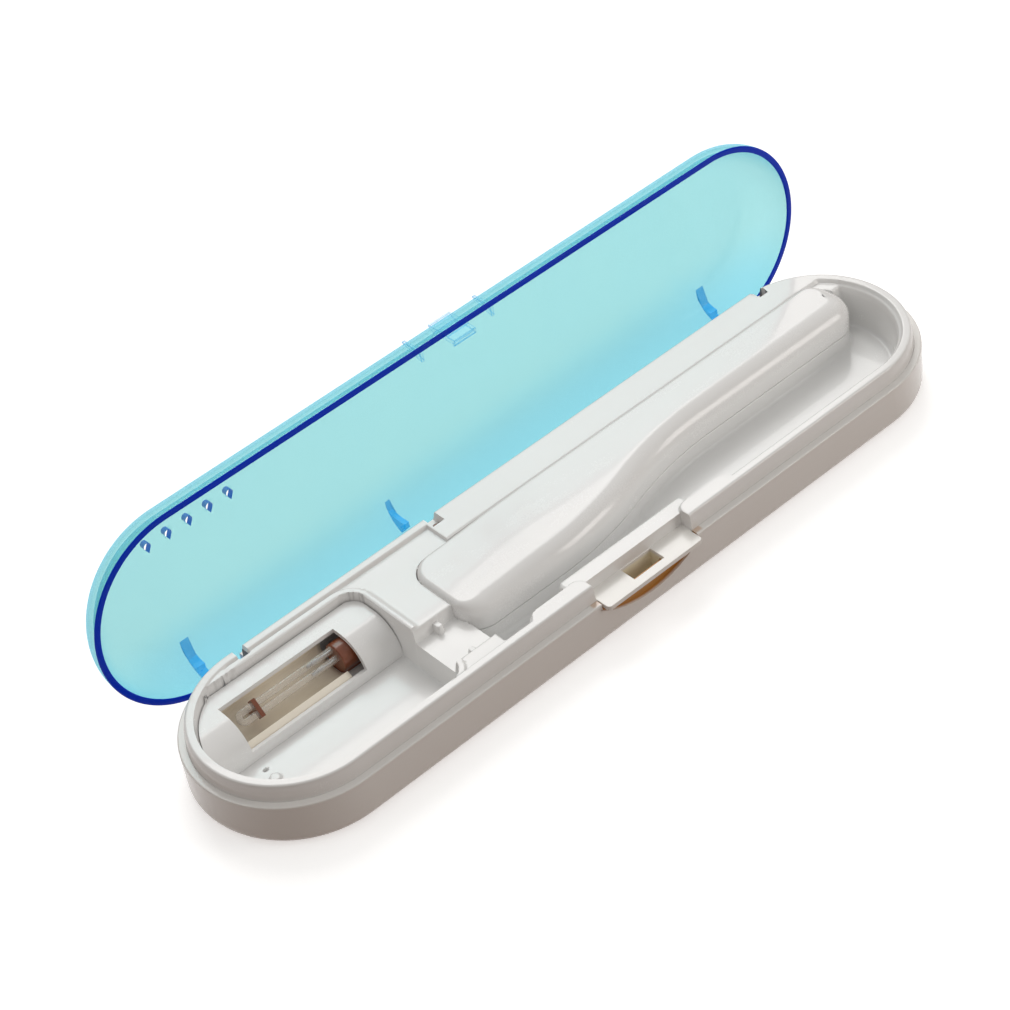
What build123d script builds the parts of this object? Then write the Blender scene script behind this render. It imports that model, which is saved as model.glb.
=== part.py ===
from build123d import *
from math import atan2, cos, degrees, radians, sin
import os

# A travel sterilizer case: a long tray with an ultraviolet lamp under a hinged lid.
# All sizes are millimetres. X runs along the case, -Y is the latch side,
# +Y the hinge side and +Z is up. The origin is the middle of the underside.
# The case is drawn with its lid open.

# Outer case
case_length = 215.0
case_width = 50.6
shell_wall = 1.8
ledge_height = 12.0
bottom_round = 3.0
rim_round = 0.35

# Clearances
fit_gap = 0.2
moving_gap = 0.3
running_clearance = 0.05
seat_clearance = 0.02
cut_margin = 1.0

# Inner tray
skirt_wall = 1.5
skirt_bottom = 9.0
deck_top = 15.3
deck_thickness = 1.3
lip_top = 16.3
lip_draft = 0.9
lip_wall = 1.4
pocket_wall = 1.3
pocket_inset = 4.9
rim_step = 0.6
strip_left_reach = 2.1
strip_gap = 0.3
patch_length = 15.6
patch_depth = 3.2

# Head bay and the lamp housing inside it
bay_floor = 4.8
bay_back_depth = 6.8
bay_corner = 4.5
housing_gap = 0.2
housing_depth = 15.6
housing_top = 13.6
housing_wall = 1.2
housing_roll = 8.2
window_left_margin = 15.5
window_right_margin = 10.0
window_back_inset = 4.7
window_front_inset = 16.5
window_bottom = 7.6
drain_hole_radius = 0.6
drain_hole_offset = (15.5, 24.5)
drain_boss_radius = 1.4
drain_boss_height = 0.8
drain_boss_offset = (15.3, 20.8)

# Neck saddle between the head bay and the handle channel
saddle_length = 11.5
saddle_floor = 11.8
saddle_front_inset = 8.3
saddle_width = 15.0
neck_rib_thickness = 1.0
neck_rib_height = 2.2
neck_rib_width = 2.4

# Handle channel
channel_floor = 4.8
channel_front_inset = 6.0
notch_length = 7.0
notch_back_inset = 16.3

# Battery cover, a long hump beside the handle channel
cover_right_margin = 10.0
cover_back_inset = 11.9
cover_front_inset = 15.9
cover_narrow_width = 13.8
cover_bend_start = 26.0
cover_bend_length = 57.0
cover_top = 17.4
cover_wall = 1.2
cover_corner = 6.5
cover_roll = 5.0
cover_seat = 9.0
cover_seat_gap = 0.2
cover_side_gap = 0.25

# Battery cells and their contacts
cell_length = 44.5
cell_radius = 5.25
cell_gap = 0.1
cell_pip_radius = 1.9
cell_pip_height = 1.0
cell_floor_gap = 0.3
cell_side_gap = 0.35
well_right_margin = 4.5
well_floor = 4.4
contact_thickness = 0.4
contact_size = 8.4
contact_spring_length = 3.6
contact_spring_radius = 2.6
contact_spring_wire = 0.5
contact_spring_turns = 3

# Lid
lid_depth = 10.2
lid_wall = 1.6
lid_round = 9.5
lid_open_angle = 93.0
vent_count = 5
vent_pitch = 5.7
vent_left_margin = 23.0
vent_front_inset = 12.3
vent_radius = 0.9
vent_tail = 1.9

# Hinge
hinge_height = 5.4
hinge_inset = 2.5
hinge_left_margin = 28.5
hinge_right_margin = 22.5
pin_radius = 1.0
eye_radius = 2.3
arm_width = 2.4
arm_inner_offset = 1.5
arm_outer_offset = 1.9
arm_lean = 0.3
arm_root_height = 3.0
arm_side_gap = 0.4
ear_width = 2.2
ear_height = 8.2
ear_depth = 3.4
fin_reach = 6.4
fin_offset = 4.0
fin_bend_across = 0.28
fin_bend_up = 0.66
arm_slot_floor = 2.4

# Latch in the middle of the front wall
latch_x = 1.0
button_length = 29.4
button_overhang = 2.0
button_nose_height = 1.2
button_flange = 2.1
button_body_height = 5.8
button_body_depth = 4.0
button_travel = 1.3
button_side_gap = 0.4
pocket_length = 9.2
pocket_rear_bar = 1.2
pocket_front_bar = 2.3
latch_back_wall = 1.4
latch_floor_wall = 1.3
latch_gap_depth = 5.5
hook_width = 6.6
hook_thickness = 1.6
hook_drop = 2.4
barb_depth = 0.7
barb_height = 1.0
hook_rib_spread = 10.7
hook_rib_thickness = 1.0
hook_rib_depth = 3.2
hook_rib_height = 7.0
latch_spring_radius = 1.3
latch_spring_wire = 0.4
latch_spring_turns = 5
latch_spring_spread = 11.0
latch_spring_seat_depth = 3.0
scoop_height = 5.2
scoop_overrun = 1.0
scoop_depth = 1.2

# Lamp, reflector and holders
reflector_radius = 5.2
reflector_thickness = 0.4
reflector_back_inset = 7.9
reflector_front_angle = 150.0
reflector_top_angle = 20.0
reflector_floor_gap = 0.1
reflector_end_gap = 1.0
lamp_radius = 0.85
lamp_bore_radius = 0.6
lamp_leg_offset = 1.1
lamp_tilt = 42.5
lamp_left_margin = 4.0
lamp_rise = 0.0
lamp_end_inset = 3.0
socket_length = 6.0
socket_radius = 3.6
socket_drop = 1.5
socket_foot_width = 4.6
clip_thickness = 1.0
clip_length = 4.6
clip_width = 2.4
clip_stem_width = 1.4
clip_margin = 3.0
lead_radius = 0.5
lead_spread = 3.0
lead_height = 6.4
lead_bend = 1.5
lead_notch_rise = 1.0
lamp_lead_inset = 2.0

# Circuit board and its components
board_length = 34.0
board_width = 24.0
board_thickness = 1.2
board_height = 3.4
board_back_gap = 1.0
board_left_gap = 0.5
board_right_gap = 0.3
board_post_radius = 2.4
board_post_inset = 3.4
transformer_offset = (10.5, 6.0)
transformer_length = 10.0
transformer_width = 8.0
transformer_height = 7.0
transformer_post = 3.0
transformer_yoke = 1.2
winding_gap = 0.1
winding_overhang = 1.6
capacitor_offset = (22.5, 6.0)
capacitor_radius = 2.5
capacitor_height = 7.5
transistor_offset = (28.0, 6.5)
transistor_radius = 2.2
transistor_height = 4.4
transistor_leg_height = 2.5
transistor_leg_width = 0.5
transistor_leg_pitch = 1.3

# Safety switch that the lid presses
switch_offset = 14.8
switch_back_inset = 5.0
switch_length = 6.4
switch_width = 4.4
switch_height = 7.8
switch_slot_length = 3.4
switch_slot_width = 2.4
switch_finger_width = 1.4
switch_finger_depth = 1.6
switch_finger_tip = 14.9
switch_finger_top = 20.7
switch_web_gap = 0.7
plunger_radius = 0.9
plunger_collar_radius = 1.5
plunger_collar_height = 1.0
switch_top_wall = 1.0
switch_spring_radius = 1.2
switch_spring_wire = 0.3
switch_spring_turns = 4
switch_floor_wall = 1.7

# Screws
screw_radius = 1.0
screw_head_radius = 1.75
screw_head_height = 1.0
screw_length = 6.5
screw_boss_radius = 2.5
screw_boss_height = 3.4
screw_seat_margin = 0.2
strip_screw_left = 54.0
strip_screw_right_margin = 38.0
strip_screw_inset = 6.3
board_screw_length = 3.0

# Leads between the battery contacts and the board
battery_lead_radius = 0.5
battery_lead_bend = 2.0
battery_lead_end_bend = 1.2
battery_lead_height = 6.0
battery_lead_row = 2.2
battery_lead_inset = 2.5

# Places worked out from the sizes above. The cells, the board and the saddle
# follow one another from the right end, and the lamp bay takes what is left.
left_end = -case_length / 2
right_end = case_length / 2
front = -case_width / 2
back = case_width / 2
tray_inset = shell_wall + fit_gap
lip_inner_inset = tray_inset + lip_draft + lip_wall
lip_taper = degrees(atan2(lip_draft, lip_top - ledge_height))

cover_right = right_end - cover_right_margin
cover_back = back - cover_back_inset
cover_wide_front = front + cover_front_inset
cover_narrow_front = cover_back - cover_narrow_width
well_right = cover_right - well_right_margin
well_length = 2 * cell_length + cell_gap + contact_spring_length + 2 * contact_thickness + cell_gap
well_left = well_right - well_length
cell_y = (cover_back + cover_narrow_front) / 2
well_back = cell_y + cell_radius + cell_side_gap
well_front = cell_y - cell_radius - cell_side_gap
cell_z = well_floor + cell_floor_gap + cell_radius

board_left = well_left - 2 * pocket_wall - board_right_gap - board_length
board_back = back - shell_wall - board_back_gap
board_front = board_back - board_width
board_top = board_height + board_thickness
switch_x = board_left + switch_offset
strip_left = switch_x - strip_left_reach
strip_front = cover_back + cover_side_gap + strip_gap

cover_left = board_left - board_left_gap
saddle_right = cover_left
bay_right = saddle_right - saddle_length
bay_back = back - bay_back_depth
saddle_front = front + saddle_front_inset
channel_front = front + channel_front_inset
notch_back = back - notch_back_inset

hinge_y = back - hinge_inset
hinge_axis = Axis((0, hinge_y, hinge_height), (1, 0, 0))
hinge_places = (left_end + hinge_left_margin, right_end - hinge_right_margin)
arm_slot_width = arm_width + 2 * arm_side_gap

lid_rim = ledge_height + moving_gap
lid_roof = lid_rim + lid_depth - lid_wall
lid_back_face = back - lid_wall
lid_front_face = front + lid_wall

button_front = front - button_overhang
button_top = ledge_height
button_nose_bottom = button_top - button_nose_height
button_body_front = front + shell_wall + moving_gap
button_body_back = button_body_front + button_body_depth
button_body_bottom = button_top - button_body_height
button_body_length = button_length + 2 * button_flange
latch_back = button_body_back + button_travel + moving_gap
latch_floor = button_body_bottom - moving_gap
latch_half = button_body_length / 2 + button_side_gap
latch_gap_half = button_length / 2 + 2 * moving_gap
latch_deck_edge = front + latch_gap_depth
latch_wall_low = latch_x - latch_half - latch_back_wall
latch_wall_high = latch_x + latch_half + latch_back_wall

housing_back = bay_back - housing_gap
housing_front = housing_back - housing_depth
housing_right = bay_right - housing_gap
window_left = left_end + window_left_margin
window_right = bay_right - window_right_margin
window_back = housing_back - window_back_inset
window_front = housing_back - window_front_inset
reflector_y = housing_back - reflector_back_inset
reflector_z = bay_floor + reflector_radius + reflector_floor_gap
lamp_z = reflector_z + lamp_rise
lamp_right = window_right - lamp_end_inset
lamp_left = window_left + lamp_left_margin

switch_y = back - switch_back_inset
switch_cavity_floor = board_top + switch_floor_wall
switch_top = board_top + switch_height
switch_cavity_top = switch_top - switch_top_wall
plunger_top = switch_finger_tip - moving_gap
transformer_place = (board_left + transformer_offset[0], board_front + transformer_offset[1])
capacitor_place = (board_left + capacitor_offset[0], board_front + capacitor_offset[1])
transistor_place = (board_left + transistor_offset[0], board_front + transistor_offset[1])

contact_left = well_left + contact_thickness
cell_starts = (
    contact_left + contact_spring_length + cell_gap / 2,
    contact_left + contact_spring_length + cell_length + 3 * cell_gap / 2,
)
lead_drop_x = board_left + board_length - battery_lead_inset
long_lead_y = well_back + pocket_wall + battery_lead_row
plate_edge = cell_y + contact_size / 2
plate_middle_x = well_right - contact_thickness / 2
socket_right = lamp_right + socket_length


upright = (Align.CENTER, Align.CENTER, Align.MIN)


def case_outline(inset, mode=Mode.ADD):
    """Draw the case's rounded outline, drawn in by an inset."""
    SlotOverall(case_length - 2 * inset, case_width - 2 * inset, mode=mode)


def box_between(low, high, mode=Mode.ADD):
    """Add or cut a box between two opposite corners."""
    size = [high[i] - low[i] for i in range(3)]
    with Locations(Vector(*low)):
        Box(*size, align=(Align.MIN, Align.MIN, Align.MIN), mode=mode)


def plan_rectangle(x_low, y_low, x_high, y_high, mode=Mode.ADD):
    """Draw a rectangle between two corners of a plan."""
    with Locations(((x_low + x_high) / 2, (y_low + y_high) / 2)):
        Rectangle(x_high - x_low, y_high - y_low, mode=mode)


def plane_across(x):
    """Give the plane at x whose first axis is +Y and second is +Z."""
    return Plane(origin=(x, 0, 0), x_dir=(0, 1, 0), z_dir=(1, 0, 0))


def rod(path_edges, radius, bore=0.0):
    """Sweep a round rod, or a tube with a bore, along joined edges."""
    path = Wire(path_edges)
    with BuildPart() as made:
        with BuildSketch(Plane(origin=path @ 0, z_dir=path % 0)):
            Circle(radius)
            if bore:
                Circle(bore, mode=Mode.SUBTRACT)
        sweep(path=path)
    return made.part


def least_gap(path, wire, turns):
    """Measure, on points of a wound path, how near the wire comes to itself."""
    steps_per_turn = 24
    steps = turns * steps_per_turn
    points = [path @ (i / steps) for i in range(steps + 1)]
    nearest = min(
        (points[j] - points[i]).length
        for i in range(steps + 1)
        for j in range(i + steps_per_turn // 2, steps + 1)
    )
    return nearest - wire


def coil(origin, direction, radius, wire, turns, length):
    """Wind one unbroken spring of the outer radius given."""
    centre_radius = radius - wire / 2
    pitch = (length - wire) / turns
    base = Plane(origin=origin, z_dir=direction)
    start = Plane(origin=base.from_local_coords(Vector(0, 0, wire / 2)), x_dir=base.x_dir, z_dir=base.z_dir)
    helix = start.from_local_coords(Helix(pitch, pitch * turns, centre_radius))
    print(f"spring of {turns} turns, least gap to itself {least_gap(helix, wire, turns):.2f} mm")
    with BuildPart() as made:
        with BuildSketch(Plane(origin=helix @ 0, z_dir=helix % 0)):
            Circle(wire / 2)
        sweep(path=helix, is_frenet=True)
    return made.part


def save(made, name):
    """Name a finished piece and write its file."""
    made.label = name
    export_step(made, f"parts/{name}.step")


os.makedirs("parts", exist_ok=True)

# The plan of the battery cover: straight at both ends of its front edge,
# with one long bend between them.
with BuildSketch() as cover_plan:
    with BuildLine():
        bend_start = (cover_left + cover_bend_start, cover_wide_front)
        bend_end = (cover_left + cover_bend_start + cover_bend_length, cover_narrow_front)
        Line((cover_left, cover_back), (cover_left, cover_wide_front))
        Line((cover_left, cover_wide_front), bend_start)
        bend_middle = ((bend_start[0] + bend_end[0]) / 2, (bend_start[1] + bend_end[1]) / 2)
        first_bend = TangentArc(bend_start, bend_middle, tangent=(1, 0))
        TangentArc(bend_middle, bend_end, tangent=first_bend % 1)
        Line(bend_end, (cover_right, cover_narrow_front))
        Line((cover_right, cover_narrow_front), (cover_right, cover_back))
        Line((cover_right, cover_back), (cover_left, cover_back))
    make_face()
    end_corners = cover_plan.vertices().filter_by(
        lambda v: abs(v.X - cover_left) < 0.01 or abs(v.X - cover_right) < 0.01
    )
    fillet(end_corners, cover_corner)

# Screw places: two by the neck saddle and two under the back strip.
screw_places = (
    (bay_right + saddle_length / 2, bay_back - screw_boss_radius),
    (bay_right + saddle_length / 2, saddle_front + saddle_width / 2),
    (strip_left + strip_screw_left, back - strip_screw_inset),
    (right_end - strip_screw_right_margin, back - strip_screw_inset),
)

# Lower shell: a round-ended tub with hinge ears, screw bosses and board posts.
board_post_places = (
    (board_left + board_post_inset, board_front + board_post_inset),
    (board_left + board_length - board_post_inset, board_back - board_post_inset),
)
with BuildPart() as lower_shell:
    with BuildSketch():
        case_outline(0)
    extrude(amount=ledge_height)
    fillet(lower_shell.faces().sort_by(Axis.Z)[0].edges(), bottom_round)
    fillet(lower_shell.faces().sort_by(Axis.Z)[-1].edges(), rim_round)
    with BuildSketch(Plane.XY.offset(shell_wall)):
        case_outline(shell_wall)
    extrude(amount=ledge_height, mode=Mode.SUBTRACT)
    for hinge_x in hinge_places:
        for side in (-1, 1):
            ear_x = hinge_x + side * (arm_slot_width + ear_width) / 2
            ear_low = (ear_x - ear_width / 2, back - shell_wall - ear_depth, shell_wall / 2)
            ear_high = (ear_x + ear_width / 2, back - shell_wall / 2, ear_height)
            box_between(ear_low, ear_high)
        slot_low = (hinge_x - arm_slot_width / 2, hinge_y - 2 * eye_radius, arm_slot_floor)
        slot_high = (hinge_x + arm_slot_width / 2, back + cut_margin, ledge_height + cut_margin)
        box_between(slot_low, slot_high, mode=Mode.SUBTRACT)
        pin_reach = arm_slot_width + 2 * ear_width + 2 * cut_margin
        with Locations(Location((hinge_x, hinge_y, hinge_height), (0, 90, 0))):
            Cylinder(pin_radius + seat_clearance, pin_reach, mode=Mode.SUBTRACT)
    with BuildSketch(Plane.XY.offset(shell_wall / 2)):
        with Locations(*screw_places):
            Circle(screw_boss_radius + screw_seat_margin)
    extrude(amount=screw_boss_height - shell_wall / 2)
    with BuildSketch(Plane.XY.offset(shell_wall / 2)):
        with Locations(*board_post_places):
            Circle(board_post_radius)
    extrude(amount=board_height - shell_wall / 2)
    with Locations(*[(x, y, 0) for x, y in screw_places]):
        Cylinder(screw_radius + fit_gap, 4 * screw_boss_height, mode=Mode.SUBTRACT)
        Cylinder(screw_head_radius + fit_gap, 2 * (screw_head_height + fit_gap), mode=Mode.SUBTRACT)
    with Locations(*[(x, y, board_height) for x, y in board_post_places]):
        Cylinder(screw_radius + seat_clearance, 2 * (board_height - shell_wall / 2), mode=Mode.SUBTRACT)
    nose_left = latch_x - button_length / 2 - moving_gap
    nose_low = (nose_left, front - cut_margin, button_nose_bottom - moving_gap)
    nose_back = front + shell_wall + cut_margin
    nose_high = (latch_x + button_length / 2 + moving_gap, nose_back, ledge_height + cut_margin)
    box_between(nose_low, nose_high, mode=Mode.SUBTRACT)
    with BuildSketch(Plane.XZ.offset(-front - scoop_depth)):
        scoop_top = button_nose_bottom - moving_gap
        with BuildLine():
            scoop_half = button_length / 2 + scoop_overrun
            scoop_left = (latch_x - scoop_half, scoop_top)
            scoop_right = (latch_x + scoop_half, scoop_top)
            ThreePointArc(scoop_left, (latch_x, scoop_top - scoop_height), scoop_right)
            Line(scoop_right, scoop_left)
        make_face()
    extrude(amount=scoop_depth + cut_margin, mode=Mode.SUBTRACT)
save(lower_shell.part, "lower_shell")

# Plans of the tray's pockets
with BuildSketch() as bay_plan:
    plan_rectangle(left_end, front + pocket_inset, bay_right, bay_back)
    case_outline(pocket_inset, mode=Mode.INTERSECT)
    bay_corner_places = bay_plan.vertices().filter_by(lambda v: v.X > bay_right - 0.01 and v.Y > 0)
    fillet(bay_corner_places, bay_corner)

with BuildSketch() as channel_plan:
    plan_rectangle(saddle_right, channel_front, cover_right, cover_narrow_front + cut_margin)
    plan_rectangle(cover_right - notch_length, channel_front, right_end, notch_back)
    case_outline(pocket_inset, mode=Mode.INTERSECT)
    add(cover_plan.sketch, mode=Mode.SUBTRACT)
    plan_rectangle(latch_wall_low, front, latch_wall_high, latch_back + latch_back_wall, mode=Mode.SUBTRACT)

with BuildSketch() as well_plan:
    plan_rectangle(well_left, well_front, well_right, well_back)

with BuildSketch() as electronics_plan:
    add(cover_plan.sketch)
    offset(amount=-cover_wall - pocket_wall)
    plan_rectangle(left_end, front, well_left - 2 * pocket_wall, back, mode=Mode.INTERSECT)


def stand_pocket(plan, outward, low, high, mode=Mode.ADD):
    """Extrude a plan, grown outward, from one height to another."""
    with BuildSketch(Plane.XY.offset(low)) as outline:
        add(plan.sketch)
        if outward:
            offset(amount=outward)
    extrude(outline.sketch, amount=high - low, mode=mode)


# Inner tray: lip, deck and the walls and floors of its pockets
pocket_top = lip_top + cut_margin
with BuildPart() as inner_tray:
    with BuildSketch(Plane.XY.offset(skirt_bottom)):
        case_outline(tray_inset)
        case_outline(tray_inset + skirt_wall, mode=Mode.SUBTRACT)
    extrude(amount=ledge_height - skirt_bottom)
    with BuildSketch(Plane.XY.offset(ledge_height)):
        case_outline(tray_inset)
    extrude(amount=lip_top - ledge_height, taper=lip_taper)
    with BuildSketch(Plane.XY.offset(ledge_height)):
        case_outline(tray_inset + skirt_wall)
    extrude(amount=deck_top - deck_thickness - ledge_height, mode=Mode.SUBTRACT)
    with BuildSketch(Plane.XY.offset(deck_top)):
        case_outline(lip_inner_inset)
    extrude(amount=pocket_top - deck_top, mode=Mode.SUBTRACT)
    with BuildSketch(Plane.XY.offset(deck_top)):
        plan_rectangle(strip_left, strip_front, right_end, back)
        for side in (-1, 1):
            patch_near = latch_x + side * latch_gap_half
            patch_far = patch_near + side * patch_length
            patch_back = front + tray_inset + lip_draft + patch_depth
            plan_rectangle(min(patch_near, patch_far), front, max(patch_near, patch_far), patch_back)
        case_outline(tray_inset + lip_draft + fit_gap, mode=Mode.INTERSECT)
    extrude(amount=lip_top - deck_top)

    stand_pocket(bay_plan, pocket_wall, bay_floor - pocket_wall, deck_top + rim_step)
    saddle_low = (bay_right - pocket_wall, saddle_front - pocket_wall, saddle_floor - pocket_wall)
    saddle_high = (saddle_right + pocket_wall, saddle_front + saddle_width + pocket_wall, deck_top)
    box_between(saddle_low, saddle_high)
    stand_pocket(channel_plan, pocket_wall, channel_floor - pocket_wall, deck_top)
    stand_pocket(cover_plan, cover_side_gap + pocket_wall, cover_seat - pocket_wall, deck_top)
    stand_pocket(well_plan, pocket_wall, well_floor - pocket_wall, cover_seat)
    latch_cup_low = (latch_wall_low, front + tray_inset + lip_draft, latch_floor - latch_floor_wall)
    box_between(latch_cup_low, (latch_wall_high, latch_back + latch_back_wall, deck_top))
    boss_tops = [deck_top - deck_thickness / 2] * len(screw_places)
    boss_tops[1] = saddle_floor - pocket_wall / 2
    for place, boss_top in zip(screw_places, boss_tops):
        with BuildSketch(Plane.XY.offset(screw_boss_height)):
            with Locations(place):
                Circle(screw_boss_radius)
        extrude(amount=boss_top - screw_boss_height)

    stand_pocket(bay_plan, 0, bay_floor, pocket_top, mode=Mode.SUBTRACT)
    saddle_cut_low = (bay_right - cut_margin, saddle_front, saddle_floor)
    saddle_cut_high = (saddle_right + cut_margin, saddle_front + saddle_width, pocket_top)
    box_between(saddle_cut_low, saddle_cut_high, mode=Mode.SUBTRACT)
    stand_pocket(channel_plan, 0, channel_floor, pocket_top, mode=Mode.SUBTRACT)
    stand_pocket(cover_plan, cover_side_gap, cover_seat, pocket_top, mode=Mode.SUBTRACT)
    stand_pocket(well_plan, 0, well_floor, pocket_top, mode=Mode.SUBTRACT)
    stand_pocket(electronics_plan, 0, board_top, pocket_top, mode=Mode.SUBTRACT)

    latch_cut_low = (latch_x - latch_half, front, latch_floor)
    latch_cut_high = (latch_x + latch_half, latch_back, button_top + moving_gap)
    box_between(latch_cut_low, latch_cut_high, mode=Mode.SUBTRACT)
    gap_low = (latch_x - latch_gap_half, front, button_top)
    gap_high = (latch_x + latch_gap_half, latch_deck_edge, pocket_top)
    box_between(gap_low, gap_high, mode=Mode.SUBTRACT)

    for hinge_x in hinge_places:
        arm_cut_half = arm_slot_width / 2
        arm_cut_low = (hinge_x - arm_cut_half, hinge_y - eye_radius - moving_gap, skirt_bottom - cut_margin)
        box_between(arm_cut_low, (hinge_x + arm_cut_half, back, pocket_top), mode=Mode.SUBTRACT)
    slot_half = switch_slot_length / 2
    slot_front = switch_y - switch_slot_width / 2
    slot_low = (switch_x - slot_half, slot_front, switch_finger_tip - moving_gap)
    box_between(slot_low, (switch_x + slot_half, back, pocket_top), mode=Mode.SUBTRACT)
    finger_cut_low = (switch_x - slot_half, slot_front, ledge_height)
    finger_cut_high = (switch_x + slot_half, slot_front + switch_slot_width, pocket_top)
    box_between(finger_cut_low, finger_cut_high, mode=Mode.SUBTRACT)
    body_half = switch_length / 2 + moving_gap
    body_cut_low = (switch_x - body_half, slot_front, skirt_bottom - cut_margin)
    box_between(body_cut_low, (switch_x + body_half, back, switch_top + moving_gap), mode=Mode.SUBTRACT)

    for x, y in screw_places:
        with Locations((x, y, screw_boss_height)):
            thread_reach = screw_length - screw_head_height
            Cylinder(screw_radius + seat_clearance, 2 * thread_reach, mode=Mode.SUBTRACT)
    with Locations((left_end + drain_hole_offset[0], front + drain_hole_offset[1], bay_floor)):
        Cylinder(drain_hole_radius, 4 * pocket_wall, mode=Mode.SUBTRACT)
    with Locations((left_end + drain_boss_offset[0], front + drain_boss_offset[1], bay_floor)):
        Cylinder(drain_boss_radius, drain_boss_height, align=upright)
    rib_x = bay_right + saddle_length / 2
    for rib_y in (saddle_front, saddle_front + saddle_width - neck_rib_width):
        rib_low = (rib_x, rib_y, saddle_floor - pocket_wall / 2)
        rib_high = (rib_x + neck_rib_thickness, rib_y + neck_rib_width, saddle_floor + neck_rib_height)
        box_between(rib_low, rib_high)
    lead_notch_low = (bay_right - cut_margin, reflector_y - lead_spread, bay_floor)
    lead_notch_right = bay_right + pocket_wall + cut_margin
    lead_notch_high = (lead_notch_right, reflector_y + lead_spread, lead_height + lead_notch_rise)
    box_between(lead_notch_low, lead_notch_high, mode=Mode.SUBTRACT)
    lead_hole = battery_lead_radius + fit_gap
    with Locations(Location((well_left, cell_y, battery_lead_height), (0, 90, 0))):
        Cylinder(lead_hole, 4 * pocket_wall, mode=Mode.SUBTRACT)
    with Locations(Location((plate_middle_x, well_back, battery_lead_height), (90, 0, 0))):
        Cylinder(lead_hole, 4 * pocket_wall, mode=Mode.SUBTRACT)
save(inner_tray.part, "inner_tray")


def rounded_block(plan, inward, low, high, radius):
    """Stand a block on a plan and round the edge of its top."""
    with BuildPart() as block:
        with BuildSketch(Plane.XY.offset(low)):
            add(plan.sketch)
            if inward:
                offset(amount=-inward)
        extrude(amount=high - low)
        fillet(block.faces().sort_by(Axis.Z)[-1].edges(), radius)
    return block.part


# Battery cover: a thin hump that sits in the tray's seat
cover_bottom = cover_seat + cover_seat_gap
cover_outer = rounded_block(cover_plan, 0, cover_bottom, cover_top, cover_roll)
cover_hollow = rounded_block(
    cover_plan, cover_wall, cover_bottom - cut_margin, cover_top - cover_wall, cover_roll - cover_wall
)
with BuildPart() as battery_cover:
    add(cover_outer)
    add(cover_hollow, mode=Mode.SUBTRACT)
save(battery_cover.part, "battery_cover")

# Lid, drawn closed and then turned open about the hinge
with BuildSketch() as lid_plan:
    case_outline(0)
with BuildSketch() as lid_hollow_plan:
    case_outline(lid_wall)
lid_outer = rounded_block(lid_plan, 0, lid_rim, lid_rim + lid_depth, lid_round)
lid_hollow = rounded_block(lid_hollow_plan, 0, lid_rim - cut_margin, lid_roof, lid_round - lid_wall)
wall_overlap = lid_wall / 2
fin_tip_y = back - lid_wall - fin_reach
web_foot = lip_top + switch_web_gap
arm_inner_y = hinge_y - arm_inner_offset
arm_outer_y = hinge_y + arm_outer_offset


def fin_profile(bottom_y, bottom_z):
    """Draw the curved web between the lid's roof and its back wall."""
    with BuildLine() as outline:
        outer_y = lid_back_face + wall_overlap
        roof_z = lid_roof + wall_overlap
        bend_y = bottom_y - fin_bend_across * (bottom_y - fin_tip_y)
        bend_z = bottom_z + fin_bend_up * (roof_z - bottom_z)
        Polyline((fin_tip_y, roof_z), (outer_y, roof_z), (outer_y, bottom_z), (bottom_y, bottom_z))
        ThreePointArc((bottom_y, bottom_z), (bend_y, bend_z), (fin_tip_y, roof_z))
    make_face(outline.edges())


with BuildPart() as lid_webs:
    for hinge_x in hinge_places:
        with BuildSketch(plane_across(hinge_x - fin_offset - arm_width / 2)):
            fin_profile(arm_inner_y, web_foot)
        extrude(amount=arm_width)
    with BuildSketch(plane_across(switch_x - switch_finger_width / 2)):
        fin_profile(switch_y, web_foot)
    extrude(amount=switch_finger_width)
    for side in (-1, 1):
        rib_x = latch_x + side * hook_rib_spread
        with BuildSketch(plane_across(rib_x - hook_rib_thickness / 2)):
            with BuildLine():
                rib_foot = (lid_front_face - wall_overlap, lid_rim + moving_gap)
                rib_toe = (lid_front_face + hook_rib_depth, lid_rim + moving_gap)
                rib_top = (lid_front_face - wall_overlap, lid_rim + hook_rib_height)
                Polyline(rib_foot, rib_toe, rib_top, close=True)
            make_face()
        extrude(amount=hook_rib_thickness)
    tab_low = (latch_x - hook_width / 2, lid_front_face - wall_overlap, lid_rim)
    tab_high = (latch_x + hook_width / 2, lid_front_face + hook_thickness, lid_rim + hook_rib_height)
    box_between(tab_low, tab_high)
    add(lid_outer, mode=Mode.INTERSECT)

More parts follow.
